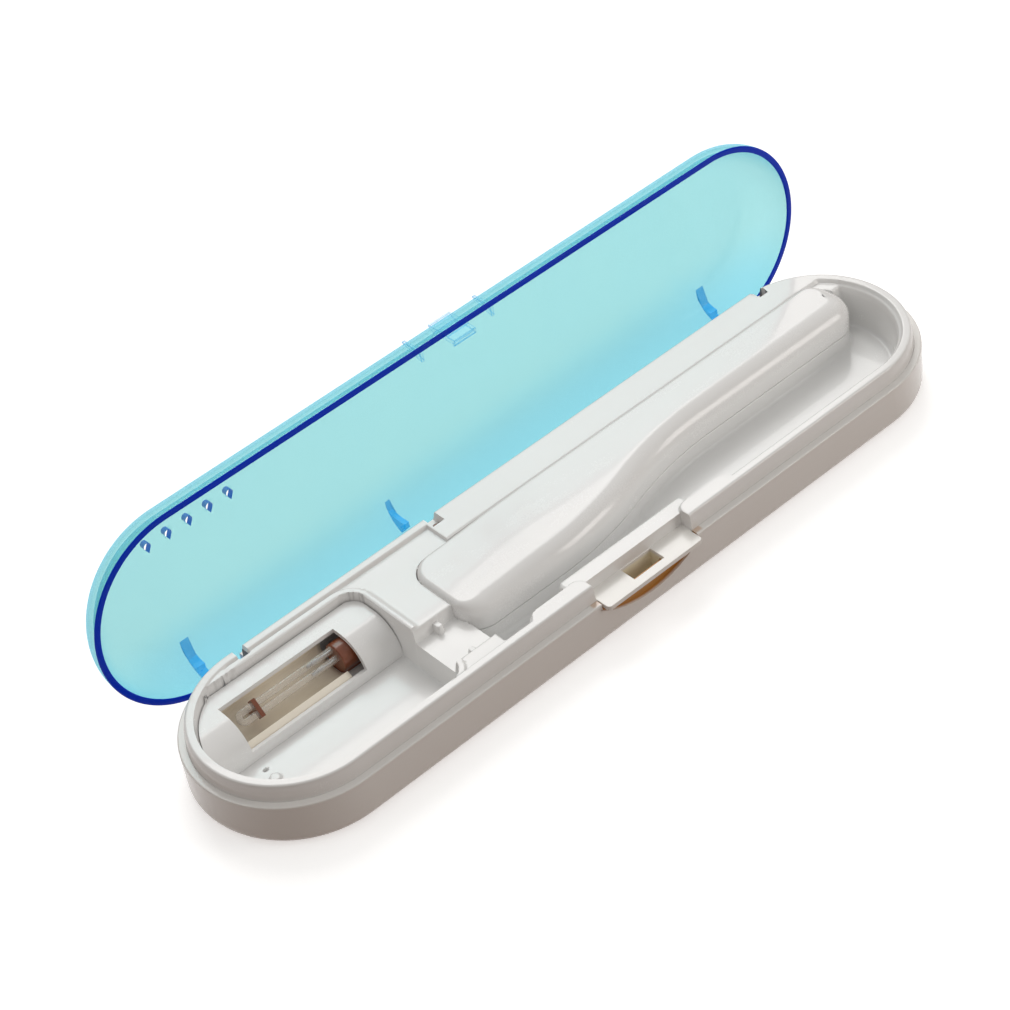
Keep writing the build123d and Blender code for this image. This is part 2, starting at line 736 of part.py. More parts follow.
with BuildPart() as closed_lid:
    add(lid_outer)
    add(lid_hollow, mode=Mode.SUBTRACT)
    add(lid_webs.part)
    for hinge_x in hinge_places:
        with BuildSketch(plane_across(hinge_x - arm_width / 2)):
            with Locations((hinge_y, hinge_height)):
                Circle(eye_radius)
            with BuildLine():
                arm_top = lid_rim + arm_root_height
                Polyline(
                    (arm_inner_y, hinge_height),
                    (arm_outer_y, hinge_height),
                    (arm_outer_y - arm_lean, arm_top),
                    (lid_back_face, arm_top),
                    (arm_inner_y, lid_rim),
                    close=True,
                )
            make_face()
        extrude(amount=arm_width)
        with Locations(Location((hinge_x, hinge_y, hinge_height), (0, 90, 0))):
            Cylinder(pin_radius + running_clearance, 2 * arm_width, mode=Mode.SUBTRACT)
    hook_back = lid_front_face + hook_thickness
    hook_foot = lid_rim - hook_drop
    box_between(
        (latch_x - hook_width / 2, button_body_front, hook_foot),
        (latch_x + hook_width / 2, hook_back, lid_rim + wall_overlap),
    )
    box_between(
        (latch_x - hook_width / 2, hook_back - wall_overlap, hook_foot),
        (latch_x + hook_width / 2, hook_back + barb_depth, hook_foot + barb_height),
    )
    finger_half = switch_finger_width / 2
    box_between(
        (switch_x - finger_half, switch_y - switch_finger_depth / 2, switch_finger_tip),
        (switch_x + finger_half, switch_y + switch_finger_depth / 2, switch_finger_top),
    )
    for i in range(vent_count):
        with BuildSketch(Plane.XY.offset(lid_roof - cut_margin)):
            with Locations((left_end + vent_left_margin + i * vent_pitch, front + vent_front_inset)):
                Circle(vent_radius)
                Polygon((-vent_radius, 0), (vent_radius, 0), (0, vent_tail), align=None)
        extrude(amount=lid_wall + 2 * cut_margin, mode=Mode.SUBTRACT)
with BuildPart() as lid:
    add(closed_lid.part.rotate(hinge_axis, -lid_open_angle))
save(lid.part, "lid")

# Hinge pins, held in the ears of the lower shell
for side_name, hinge_x in zip(("left", "right"), hinge_places):
    with BuildPart() as hinge_pin:
        with Locations(Location((hinge_x, hinge_y, hinge_height), (0, 90, 0))):
            Cylinder(pin_radius, arm_slot_width + 2 * ear_width)
    save(hinge_pin.part, f"hinge_pin_{side_name}")

# Latch button and the two springs behind it
spring_z = (button_top + button_body_bottom) / 2
spring_start = button_body_back - latch_spring_seat_depth
spring_places = [latch_x + side * latch_spring_spread for side in (-1, 1)]
with BuildPart() as latch_button:
    box_between(
        (latch_x - button_length / 2, button_front, button_nose_bottom),
        (latch_x + button_length / 2, button_body_front + cut_margin, button_top),
    )
    nose_edges = latch_button.edges().filter_by(Axis.Z).sort_by(Axis.Y)[:2]
    fillet(nose_edges, button_overhang / 2)
    box_between(
        (latch_x - button_body_length / 2, button_body_front, button_body_bottom),
        (latch_x + button_body_length / 2, button_body_back, button_top),
    )
    box_between(
        (latch_x - pocket_length / 2, button_front + pocket_front_bar, button_body_bottom - cut_margin),
        (latch_x + pocket_length / 2, button_body_back - pocket_rear_bar, button_top + cut_margin),
        mode=Mode.SUBTRACT,
    )
    for spring_x in spring_places:
        with Locations(Location((spring_x, button_body_back, spring_z), (90, 0, 0))):
            Cylinder(latch_spring_radius + fit_gap, 2 * latch_spring_seat_depth, mode=Mode.SUBTRACT)
save(latch_button.part, "latch_button")

spring_length = latch_back - spring_start
with BuildPart() as latch_springs:
    for spring_x in spring_places:
        spring_base = (spring_x, spring_start + seat_clearance, spring_z)
        spring_free = spring_length - 2 * seat_clearance
        latch_spring_size = (latch_spring_radius, latch_spring_wire, latch_spring_turns, spring_free)
        add(coil(spring_base, (0, 1, 0), *latch_spring_size))
save(latch_springs.part, "latch_springs")

# Lamp housing: a hollow cover with a rolled front and a window


def housing_profile(inset):
    """Draw the housing's section: flat top, rolled front edge."""
    with BuildLine() as outline:
        back_y = housing_back - inset
        front_y = housing_front + inset
        top_z = housing_top - inset
        roll = housing_roll - inset
        roll_middle = roll * sin(radians(45))
        Polyline((front_y, top_z - roll), (front_y, bay_floor), (back_y, bay_floor), (back_y, top_z))
        Line((back_y, top_z), (front_y + roll, top_z))
        arc_middle = (front_y + roll - roll_middle, top_z - roll + roll_middle)
        ThreePointArc((front_y + roll, top_z), arc_middle, (front_y, top_z - roll))
    make_face(outline.edges())


def housing_body(inset):
    """Make the housing's outer form, or its hollow with an inset."""
    with BuildPart() as body:
        with BuildSketch(plane_across(left_end)):
            housing_profile(inset)
        extrude(amount=case_length / 2)
        stand_pocket(bay_plan, -housing_gap - inset, bay_floor, lip_top, mode=Mode.INTERSECT)
    return body.part


with BuildPart() as lamp_housing:
    add(housing_body(0))
    add(housing_body(housing_wall), mode=Mode.SUBTRACT)
    window_low = (window_left, window_front, window_bottom)
    box_between(window_low, (window_right, window_back, housing_top + cut_margin), mode=Mode.SUBTRACT)
    notch_left = housing_right - housing_wall - cut_margin
    notch_low = (notch_left, reflector_y - lead_spread, bay_floor - cut_margin)
    notch_high = (housing_right + cut_margin, reflector_y + lead_spread, lead_height + lead_notch_rise)
    box_between(notch_low, notch_high, mode=Mode.SUBTRACT)
save(lamp_housing.part, "lamp_housing")

# Reflector: a curved trough behind the lamp
reflector_left = window_left - reflector_end_gap
with BuildPart() as reflector:
    with BuildSketch(plane_across(reflector_left)):
        with BuildLine():
            sweep_angle = reflector_front_angle + reflector_top_angle
            centre = (reflector_y, reflector_z)
            inner_radius = reflector_radius - reflector_thickness
            outer = CenterArc(centre, reflector_radius, -reflector_front_angle, sweep_angle)
            inner = CenterArc(centre, inner_radius, -reflector_front_angle, sweep_angle)
            Line(outer @ 0, inner @ 0)
            Line(outer @ 1, inner @ 1)
        make_face()
    extrude(amount=lamp_right - fit_gap - reflector_left)
save(reflector.part, "reflector")

# Lamp: a thin glass tube bent into a narrow U
leg_y = lamp_leg_offset * cos(radians(lamp_tilt))
leg_z = lamp_leg_offset * sin(radians(lamp_tilt))
low_leg = (reflector_y - leg_y, lamp_z - leg_z)
high_leg = (reflector_y + leg_y, lamp_z + leg_z)
lamp_path = [
    Edge.make_line((lamp_right, *low_leg), (lamp_left, *low_leg)),
    Edge.make_three_point_arc(
        (lamp_left, *low_leg), (lamp_left - lamp_leg_offset, reflector_y, lamp_z), (lamp_left, *high_leg)
    ),
    Edge.make_line((lamp_left, *high_leg), (lamp_right, *high_leg)),
]
save(rod(lamp_path, lamp_radius, lamp_bore_radius), "lamp_tube")

with BuildPart() as lamp_socket:
    with BuildSketch(plane_across(lamp_right)):
        socket_z = reflector_z - socket_drop
        with Locations((reflector_y, socket_z)):
            Circle(socket_radius)
        foot_left = reflector_y - socket_foot_width / 2
        plan_rectangle(foot_left, bay_floor, foot_left + socket_foot_width, socket_z)
    extrude(amount=socket_length)
save(lamp_socket.part, "lamp_socket")

with BuildPart() as lamp_clip:
    with BuildSketch(plane_across(lamp_left + clip_margin)):
        with Locations(Location((reflector_y, lamp_z, 0), (0, 0, lamp_tilt))):
            Rectangle(clip_length, clip_width)
            stem_reach = reflector_radius - reflector_thickness - fit_gap / 2
            Rectangle(clip_stem_width, stem_reach, align=(Align.CENTER, Align.MAX))
        with Locations(low_leg, high_leg):
            Circle(lamp_radius + running_clearance, mode=Mode.SUBTRACT)
    extrude(amount=clip_thickness)
save(lamp_clip.part, "lamp_clip")

# Circuit board and what it carries
with BuildPart() as circuit_board:
    box_between((board_left, board_front, board_height), (board_left + board_length, board_back, board_top))
    with Locations(*[(x, y, board_height) for x, y in board_post_places]):
        Cylinder(screw_radius + fit_gap, 4 * board_thickness, mode=Mode.SUBTRACT)
save(circuit_board.part, "circuit_board")

core_x, core_y = transformer_place
core_window_half = transformer_length / 2 - transformer_yoke
core_window_low = board_top + transformer_yoke
core_window_high = board_top + transformer_height - transformer_yoke
with BuildPart() as transformer_core:
    with BuildSketch(Plane.XZ.offset(-core_y - transformer_width / 2)):
        with Locations((core_x, board_top + transformer_height / 2)):
            Rectangle(transformer_length, transformer_height)
        with Locations((core_x, (core_window_low + core_window_high) / 2)):
            Rectangle(2 * core_window_half, core_window_high - core_window_low, mode=Mode.SUBTRACT)
            Rectangle(transformer_post, transformer_height - transformer_yoke)
    extrude(amount=transformer_width)
save(transformer_core.part, "transformer_core")

with BuildPart() as transformer_winding:
    with BuildSketch(Plane.XY.offset(core_window_low + winding_gap)):
        with Locations(transformer_place):
            outer_width = transformer_width + 2 * winding_overhang
            Rectangle(2 * (core_window_half - winding_gap), outer_width)
            inner_width = transformer_width + 2 * winding_gap
            Rectangle(transformer_post + 2 * winding_gap, inner_width, mode=Mode.SUBTRACT)
    extrude(amount=core_window_high - core_window_low - 2 * winding_gap)
save(transformer_winding.part, "transformer_winding")

with BuildPart() as capacitor:
    with BuildSketch(Plane.XY.offset(board_top)):
        with Locations(capacitor_place):
            Circle(capacitor_radius)
    extrude(amount=capacitor_height)
save(capacitor.part, "capacitor")

with BuildPart() as transistor:
    with BuildSketch(Plane.XY.offset(board_top)):
        for i in (-1, 0, 1):
            with Locations((transistor_place[0] + i * transistor_leg_pitch, transistor_place[1])):
                Rectangle(transistor_leg_width, transistor_leg_width)
    extrude(amount=transistor_leg_height)
    with BuildSketch(Plane.XY.offset(board_top + transistor_leg_height)):
        with Locations(transistor_place):
            Circle(transistor_radius)
        flat_y = transistor_place[1] + transistor_radius / 2
        with Locations((transistor_place[0], flat_y)):
            flat_align = (Align.CENTER, Align.MIN)
            Rectangle(2 * transistor_radius, transistor_radius, align=flat_align, mode=Mode.SUBTRACT)
    extrude(amount=transistor_height)
save(transistor.part, "transistor")

# Safety switch: body, plunger and return spring
with BuildPart() as switch_body:
    body_low = (switch_x - switch_length / 2, switch_y - switch_width / 2, board_top)
    box_between(body_low, (switch_x + switch_length / 2, switch_y + switch_width / 2, switch_top))
    cavity_height = switch_cavity_top - switch_cavity_floor
    with Locations((switch_x, switch_y, switch_cavity_floor)):
        Cylinder(plunger_collar_radius + moving_gap, cavity_height, align=upright, mode=Mode.SUBTRACT)
        Cylinder(plunger_radius + running_clearance, switch_height, align=upright, mode=Mode.SUBTRACT)
save(switch_body.part, "switch_body")

collar_top = switch_cavity_top - running_clearance
collar_bottom = collar_top - plunger_collar_height
with BuildPart() as switch_plunger:
    with BuildSketch(Plane.XY.offset(collar_bottom)):
        with Locations((switch_x, switch_y)):
            Circle(plunger_collar_radius)
    extrude(amount=plunger_collar_height)
    with BuildSketch(Plane.XY.offset(collar_bottom)):
        with Locations((switch_x, switch_y)):
            Circle(plunger_radius)
    extrude(amount=plunger_top - collar_bottom)
save(switch_plunger.part, "switch_plunger")

spring_bottom = switch_cavity_floor + seat_clearance
switch_spring = coil(
    (switch_x, switch_y, spring_bottom),
    (0, 0, 1),
    switch_spring_radius,
    switch_spring_wire,
    switch_spring_turns,
    collar_bottom - seat_clearance - spring_bottom,
)
save(switch_spring, "switch_spring")

# Battery cells and the contacts at their two ends
for side_name, start in zip(("left", "right"), cell_starts):
    with BuildPart() as cell:
        with BuildSketch(plane_across(start)):
            with Locations((cell_y, cell_z)):
                Circle(cell_radius)
        extrude(amount=cell_length - cell_pip_height)
        with BuildSketch(plane_across(start)):
            with Locations((cell_y, cell_z)):
                Circle(cell_pip_radius)
        extrude(amount=cell_length)
    save(cell.part, f"cell_{side_name}")

plate_low_z = cell_z - contact_size / 2
plate_high_z = cell_z + contact_size / 2
for side_name, plate_x in (("left", well_left), ("right", well_right - contact_thickness)):
    with BuildPart() as contact_plate:
        plate_low = (plate_x, cell_y - contact_size / 2, plate_low_z)
        box_between(plate_low, (plate_x + contact_thickness, plate_edge, plate_high_z))
    save(contact_plate.part, f"contact_plate_{side_name}")

contact_spring = coil(
    (contact_left, cell_y, cell_z),
    (1, 0, 0),
    contact_spring_radius,
    contact_spring_wire,
    contact_spring_turns,
    contact_spring_length,
)
save(contact_spring, "contact_spring")

# Leads: a pair to the lamp socket and one to each battery contact
lead_end_x = board_left + lamp_lead_inset
lead_lines = []
for side in (-1, 1):
    lead_y = reflector_y + side * lead_spread / 2
    lead_start = (socket_right, lead_y, lead_height)
    lead_corner = (lead_end_x, lead_y, lead_height)
    lead_foot = (lead_end_x, lead_y, board_top)
    lead_lines.append(FilletPolyline(lead_start, lead_corner, lead_foot, radius=lead_bend))
with BuildPart() as lamp_leads:
    for line in lead_lines:
        add(rod(line.edges(), lead_radius))
save(lamp_leads.part, "lamp_leads")

short_line = FilletPolyline(
    (well_left, cell_y, battery_lead_height),
    (lead_drop_x, cell_y, battery_lead_height),
    (lead_drop_x, cell_y, board_top),
    radius=battery_lead_end_bend,
)
save(rod(short_line.edges(), battery_lead_radius), "battery_lead_short")

long_line = FilletPolyline(
    (plate_middle_x, plate_edge, battery_lead_height),
    (plate_middle_x, long_lead_y, battery_lead_height),
    (lead_drop_x, long_lead_y, battery_lead_height),
    (lead_drop_x, long_lead_y, board_top),
    radius=[battery_lead_bend, battery_lead_end_bend],
)
save(rod(long_line.edges(), battery_lead_radius), "battery_lead_long")

# Screws: four through the lower shell, two through the board
with BuildPart() as case_screws:
    for x, y in screw_places:
        head_bottom = fit_gap
        with BuildSketch(Plane.XY.offset(head_bottom)):
            with Locations((x, y)):
                Circle(screw_head_radius)
        extrude(amount=screw_head_height)
        with BuildSketch(Plane.XY.offset(head_bottom)):
            with Locations((x, y)):
                Circle(screw_radius)
        extrude(amount=screw_length)
save(case_screws.part, "case_screws")

with BuildPart() as board_screws:
    for x, y in board_post_places:
        with BuildSketch(Plane.XY.offset(board_top)):
            with Locations((x, y)):
                Circle(screw_head_radius)
        extrude(amount=screw_head_height)
        with BuildSketch(Plane.XY.offset(board_top)):
            with Locations((x, y)):
                Circle(screw_radius)
        extrude(amount=-board_screw_length)
save(board_screws.part, "board_screws")
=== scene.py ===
# %% [markdown]
# # A travel sterilizer case in white and clear aqua plastic
#
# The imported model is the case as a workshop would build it: a tub, a tray, a lid, a lamp and
# what makes them work. This lesson dresses it for a photograph. Some pieces keep the packed
# shape and get a finish, and the large moulded ones are worked out again as fine surfaces,
# with the soft edges that plastic has when it comes out of a mould.

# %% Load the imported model
import math

import bmesh
import bpy
import numpy as np
from mathutils import Matrix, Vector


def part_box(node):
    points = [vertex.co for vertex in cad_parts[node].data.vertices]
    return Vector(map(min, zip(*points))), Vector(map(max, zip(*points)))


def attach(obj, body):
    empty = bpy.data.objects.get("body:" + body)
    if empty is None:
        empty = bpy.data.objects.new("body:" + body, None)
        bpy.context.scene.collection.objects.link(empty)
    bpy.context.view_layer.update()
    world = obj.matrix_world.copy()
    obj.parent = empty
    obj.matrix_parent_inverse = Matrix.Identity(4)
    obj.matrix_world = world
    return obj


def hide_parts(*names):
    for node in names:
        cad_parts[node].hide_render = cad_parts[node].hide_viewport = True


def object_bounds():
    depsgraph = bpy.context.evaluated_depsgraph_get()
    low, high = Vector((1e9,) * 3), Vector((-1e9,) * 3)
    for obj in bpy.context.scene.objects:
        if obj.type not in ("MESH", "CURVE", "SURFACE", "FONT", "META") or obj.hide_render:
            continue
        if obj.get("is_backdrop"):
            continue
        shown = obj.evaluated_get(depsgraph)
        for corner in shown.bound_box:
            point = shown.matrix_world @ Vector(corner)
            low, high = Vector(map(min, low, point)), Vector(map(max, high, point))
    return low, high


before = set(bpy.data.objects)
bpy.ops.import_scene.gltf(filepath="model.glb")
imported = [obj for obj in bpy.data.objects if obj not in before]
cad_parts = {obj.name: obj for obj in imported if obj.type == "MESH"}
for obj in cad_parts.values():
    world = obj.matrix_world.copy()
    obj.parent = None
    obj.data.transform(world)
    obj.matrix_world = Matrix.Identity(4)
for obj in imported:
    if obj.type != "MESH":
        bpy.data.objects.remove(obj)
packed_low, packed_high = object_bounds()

# %% [markdown]
# ## Sizes
#
# Everything below is worked out in millimetres and turned to metres when a mesh is made.
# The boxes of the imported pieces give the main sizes, so the surfaces land where the packed
# pieces are. Walls, steps and roundings are named here once.

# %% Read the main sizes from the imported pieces
MM = 0.001


def node_box(node):
    """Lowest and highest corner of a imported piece, in millimetres."""
    low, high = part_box(node)
    return np.array(low) / MM, np.array(high) / MM


shell_low, shell_high = node_box("lower_shell")
tray_high = node_box("inner_tray")[1]
cover_low, cover_high = node_box("battery_cover")
housing_low, housing_high = node_box("lamp_housing")
button_low, button_high = node_box("latch_button")
lamp_low, lamp_high = node_box("lamp_tube")
reflector_low, reflector_high = node_box("reflector")
plunger_low, plunger_high = node_box("switch_plunger")
pin_low, pin_high = node_box("hinge_pin_left")
far_pin_low, far_pin_high = node_box("hinge_pin_right")

case_radius = (shell_high[1] - shell_low[1]) / 2
straight_half = (shell_high[0] - shell_low[0]) / 2 - case_radius
case_front = -case_radius
case_left = -case_radius - straight_half
ledge_height = shell_high[2]
hinge_y = (pin_low[1] + pin_high[1]) / 2
hinge_z = (pin_low[2] + pin_high[2]) / 2
hinge_places = ((pin_low[0] + pin_high[0]) / 2, (far_pin_low[0] + far_pin_high[0]) / 2)
switch_x = (plunger_low[0] + plunger_high[0]) / 2
switch_y = (plunger_low[1] + plunger_high[1]) / 2
latch_x = (button_low[0] + button_high[0]) / 2
print(f"case {shell_high[0] - shell_low[0]:.1f} x {2 * case_radius:.1f} mm, ledge at {ledge_height:.1f} mm")

# %% [markdown]
# ## Three tools for surfaces
#
# A moulded wall is never square: its top edge is rounded, its face leans a little so that it
# leaves the mould, and a fillet meets the floor. `wall_down` is that section as a formula.
# `spaced` crowds grid lines together where walls stand, so a mesh spends its points well.
# `quarter` is one rounded edge, for sections that are drawn point by point.

# %% Sections and spacing
def wall_down(inward, top, floor, edge, foot, slope=11.0):
    """Height of a moulded wall at a distance inward from its top edge.

    A quarter round of radius edge turns the top down, a straight face falls slope
    millimetres for each one inward, and a quarter round of radius foot meets the floor.
    """
    depth = top - floor
    edge = min(edge, 0.49 * depth)
    foot = min(foot, 0.49 * depth)
    lean = slope / math.hypot(1, slope)
    fall = 1 - 1 / math.hypot(1, slope)
    straight = (depth - (edge + foot) * fall) / slope
    edge_end = edge * lean
    foot_start = edge_end + straight
    total = foot_start + foot * lean
    along = np.clip(inward, 0, total)
    near_edge = top - edge + np.sqrt(edge**2 - np.minimum(along, edge_end) ** 2)
    on_face = top - edge * fall - slope * (along - edge_end)
    from_end = np.clip(total - along, 0, foot * lean)
    near_foot = floor + foot - np.sqrt(foot**2 - from_end**2)
    return np.where(along < edge_end, near_edge, np.where(along < foot_start, on_face, near_foot))


def spaced(low, high, step, fine_step=None, places=(), reach=1.0):
    """Numbers from low to high, step apart, and fine_step apart near the given places."""
    x = np.linspace(low, high, 6001)
    density = np.full_like(x, 1 / step)
    if len(places):
        near = np.exp(-(((x[:, None] - np.array(places)) / reach) ** 2)).max(axis=1)
        density += (1 / fine_step - 1 / step) * near
    count = np.concatenate([[0], np.cumsum((density[1:] + density[:-1]) / 2 * np.diff(x))])
    return np.interp(np.linspace(0, count[-1], int(round(count[-1])) + 1), count, x)


def quarter(radius, steps):
    """A quarter round as two rows, run and rise, from (0, 0) flat to (radius, radius) upright."""
    turn = np.linspace(0, math.pi / 2, steps + 1)
    return radius * (1 - np.cos(turn)), radius * np.sin(turn)


# %% [markdown]
# ## From numbers to meshes
#
# A surface is a grid of points. `grid_quads` numbers its faces, `join_grids` makes one mesh of
# several grids, and `make_piece` puts points and faces into a mesh in one go, closes seams
# where rows meet, and lets the piece ride on the body that carries it. A piece that stands
# for a packed one hides it.

# %% Helpers that make meshes
def grid_quads(rows, columns, closed=False):
    """Faces of a grid of points, row by row. A closed grid also joins its last column to its first."""
    i, j = np.meshgrid(np.arange(rows - 1), np.arange(columns - (not closed)), indexing="ij")
    k = (j + 1) % columns
    corners = [i * columns + j, i * columns + k, (i + 1) * columns + k, (i + 1) * columns + j]
    return np.stack(corners, axis=-1).reshape(-1, 4)


def join_grids(*grids):
    """Points and faces of several grids. Each comes as a pair: the grid, and closed or not."""
    points, faces, first = [], [], 0
    for grid, closed in grids:
        points.append(grid.reshape(-1, 3))
        faces.append(grid_quads(*grid.shape[:2], closed=closed) + first)
        first += len(points[-1])
    return np.vstack(points), np.vstack(faces)


def face_middles(points, faces):
    """The middles of a grid's faces, as one array each for x, y and z."""
    return points.reshape(-1, 3)[faces].mean(axis=1).T


def fill_mesh(mesh, points, faces):
    """Put whole arrays of points and four-cornered faces into a mesh."""
    used, faces = np.unique(faces, return_inverse=True)
    points = np.asarray(points, float).reshape(-1, 3)[used]
    faces = faces.reshape(-1, 4)
    mesh.vertices.add(len(points))
    mesh.vertices.foreach_set("co", (points * MM).ravel())
    mesh.loops.add(faces.size)
    mesh.loops.foreach_set("vertex_index", faces.ravel().astype(np.int32))
    mesh.polygons.add(len(faces))
    mesh.polygons.foreach_set("loop_start", np.arange(0, faces.size, 4, dtype=np.int32))
    mesh.update(calc_edges=True)


def close_seams(mesh, outward=False):
    """Join points that lie on each other, and turn the faces outward if asked."""
    work = bmesh.new()
    work.from_mesh(mesh)
    bmesh.ops.remove_doubles(work, verts=work.verts, dist=0.004 * MM)
    if outward:
        bmesh.ops.recalc_face_normals(work, faces=work.faces)
    work.to_mesh(mesh)
    work.free()


# %% Helpers that make pieces
def add_object(name, data):
    """Put a mesh, camera or light into the scene."""
    made = bpy.data.objects.new(name, data)
    bpy.context.scene.collection.objects.link(made)
    return made


def place_piece(name, mesh, finishes, body, stands_for=(), slot=None, sharp=40):
    """Make the object of a mesh, smooth it up to an angle, and let it ride on its body."""
    piece = add_object(name, mesh)
    for finish in finishes:
        mesh.materials.append(finish)
    mesh.polygons.foreach_set("use_smooth", np.ones(len(mesh.polygons), bool))
    mesh.set_sharp_from_angle(angle=math.radians(sharp))
    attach(piece, body)
    if stands_for:
        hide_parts(*stands_for)
    print(f"{name}: {len(mesh.polygons)} faces")
    return piece


def make_piece(name, points, faces, finish, body, outward=False, zones=None, **more):
    """Make a piece from a grid. Zones gives each face's number in a list of finishes."""
    finishes = finish if isinstance(finish, list) else [finish]
    mesh = bpy.data.meshes.new(name)
    fill_mesh(mesh, points, faces)
    if zones is not None:
        mesh.polygons.foreach_set("material_index", np.asarray(zones, np.int32))
    close_seams(mesh, outward)
    return place_piece(name, mesh, finishes, body, **more)


def prism_faces(start, count):
    """Faces of a prism whose points begin at start, with count of them at each end."""
    near, far = range(start, start + count), range(start + count, start + 2 * count)
    sides = [[near[i], far[i], far[(i + 1) % count], near[(i + 1) % count]] for i in range(count)]
    return [list(near), list(far)[::-1], *sides]


def turned_over(face):
    """A face seen from its other side: the same corners, the other way round."""
    return face[:1] + face[:0:-1]


def make_plate(name, outlines, finish, body, **more):
    """Make flat plates of one piece. Each outline is (y and z points, lowest x, highest x)."""
    points, faces = [], []
    for outline, x_low, x_high in outlines:
        faces += prism_faces(len(points), len(outline))
        points += [(x * MM, y * MM, z * MM) for x in (x_low, x_high) for y, z in outline]
    mesh = bpy.data.meshes.new(name)
    mesh.from_pydata(points, [], faces)
    close_seams(mesh, outward=True)
    return place_piece(name, mesh, [finish], body, **more)


def thicken(piece, thickness):
    """Give a sheet its wall, measured inward from the faces."""
    wall = piece.modifiers.new("wall", "SOLIDIFY")
    wall.thickness = thickness * MM
    wall.offset = -1


def soften(piece, width, segments=3, angle=30, finish=None):
    """Round the edges that are sharper than an angle, with a finish of their own if given."""
    bevel = piece.modifiers.new("soft edges", "BEVEL")
    bevel.width = width * MM
    bevel.segments = segments
    bevel.limit_method = "ANGLE"
    bevel.angle_limit = math.radians(angle)
    bevel.harden_normals = True
    if finish:
        piece.data.materials.append(finish)
        bevel.material = len(piece.data.materials) - 1


def soft_copy(node, name, width, finish, body, slot):
    """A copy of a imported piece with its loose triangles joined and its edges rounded."""
    work = bmesh.new()
    work.from_mesh(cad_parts[node].data)
    bmesh.ops.remove_doubles(work, verts=work.verts, dist=0.002 * MM)
    bmesh.ops.dissolve_limit(work, angle_limit=math.radians(1), verts=work.verts, edges=work.edges)
    mesh = bpy.data.meshes.new(name)
    work.to_mesh(mesh)
    work.free()
    piece = place_piece(name, mesh, [finish], body, stands_for=[node], slot=slot, sharp=30)
    soften(piece, width)
    return piece


# %% [markdown]
# ## Shader sums
#
# A finish is a few sums on noise and position. `Number` wraps one socket, so a sum is written
# with plus and times and the Math nodes appear by themselves. `Shader` holds a tree of nodes
# and has one method that adds any of them, with its settings first and its sockets after.
# `Finish` is the shader of one material.

# %% Values of a shader
class Number:
    """One value of a shader, with Python's own operators."""

    def __init__(self, shader, socket):
        self.shader = shader
        self.socket = socket

    def math_node(self, operation, first, second):
        """One Math node on two values."""
        return self.shader.node("Math", {"operation": operation}, {0: first, 1: second})

    def __add__(self, other):
        return self.math_node("ADD", self, other)

    def __sub__(self, other):
        return self.math_node("SUBTRACT", self, other)

    def __rsub__(self, other):
        return self.math_node("SUBTRACT", other, self)

    def __mul__(self, other):
        return self.math_node("MULTIPLY", self, other)

    __radd__ = __add__
    __rmul__ = __mul__

    def above(self, limit):
        """One where the value is above a limit, else nought."""
        return self.math_node("GREATER_THAN", self, limit)

    def between(self, low, high):
        """Nought below low, one above high, and a soft climb from one to the other."""
        settings = {"interpolation_type": "SMOOTHSTEP"}
        values = {"Value": self, "From Min": low, "From Max": high}
        return self.shader.node("MapRange", settings, values)


# %% Shaders and finishes
class Shader:
    """A tree of nodes, with one method that adds any node and a few short cuts."""

    def __init__(self, tree):
        self.tree = tree

    def feed(self, socket, value):
        """Link a socket to a value, or set it to a number or colour."""
        if isinstance(value, Number):
            self.tree.links.new(value.socket, socket)
        elif socket.type == "RGBA":
            socket.default_value = (*value, 1)
        else:
            socket.default_value = value

    def node(self, kind, settings=None, values=None, output=0):
        """Add a node of any kind: its settings first, then its sockets."""
        node = self.tree.nodes.new("ShaderNode" + kind)
        for label, value in (settings or {}).items():
            setattr(node, label, value)
        for label, value in (values or {}).items():
            self.feed(node.inputs[label], value)
        return Number(self, node.outputs[output])

    def place(self):
        """Object coordinates, which are the case's own, in metres."""
        return self.node("TexCoord", output="Object")

    def axis(self, letter):
        """One of the object coordinates: x, y or z."""
        return self.node("SeparateXYZ", values={0: self.place()}, output=letter.upper())

    def edge_on(self):
        """How far the surface turns away from the eye, from nought to one."""
        return self.node("LayerWeight", values={"Blend": 0.4}, output="Facing")

    def noise(self, size, detail=2.0, stretch=(1, 1, 1)):
        """Soft noise whose blotches are about size millimetres wide."""
        stretched = self.node(
            "Mapping", {"vector_type": "POINT"}, {"Vector": self.place(), "Scale": stretch}
        )
        values = {"Vector": stretched, "Scale": 1 / (size * MM), "Detail": detail}
        return self.node("TexNoise", values=values)

    def blend(self, share, first, second):
        """A colour between two others."""
        return self.node("Mix", {"data_type": "RGBA"}, {0: share, 6: first, 7: second}, output=2)


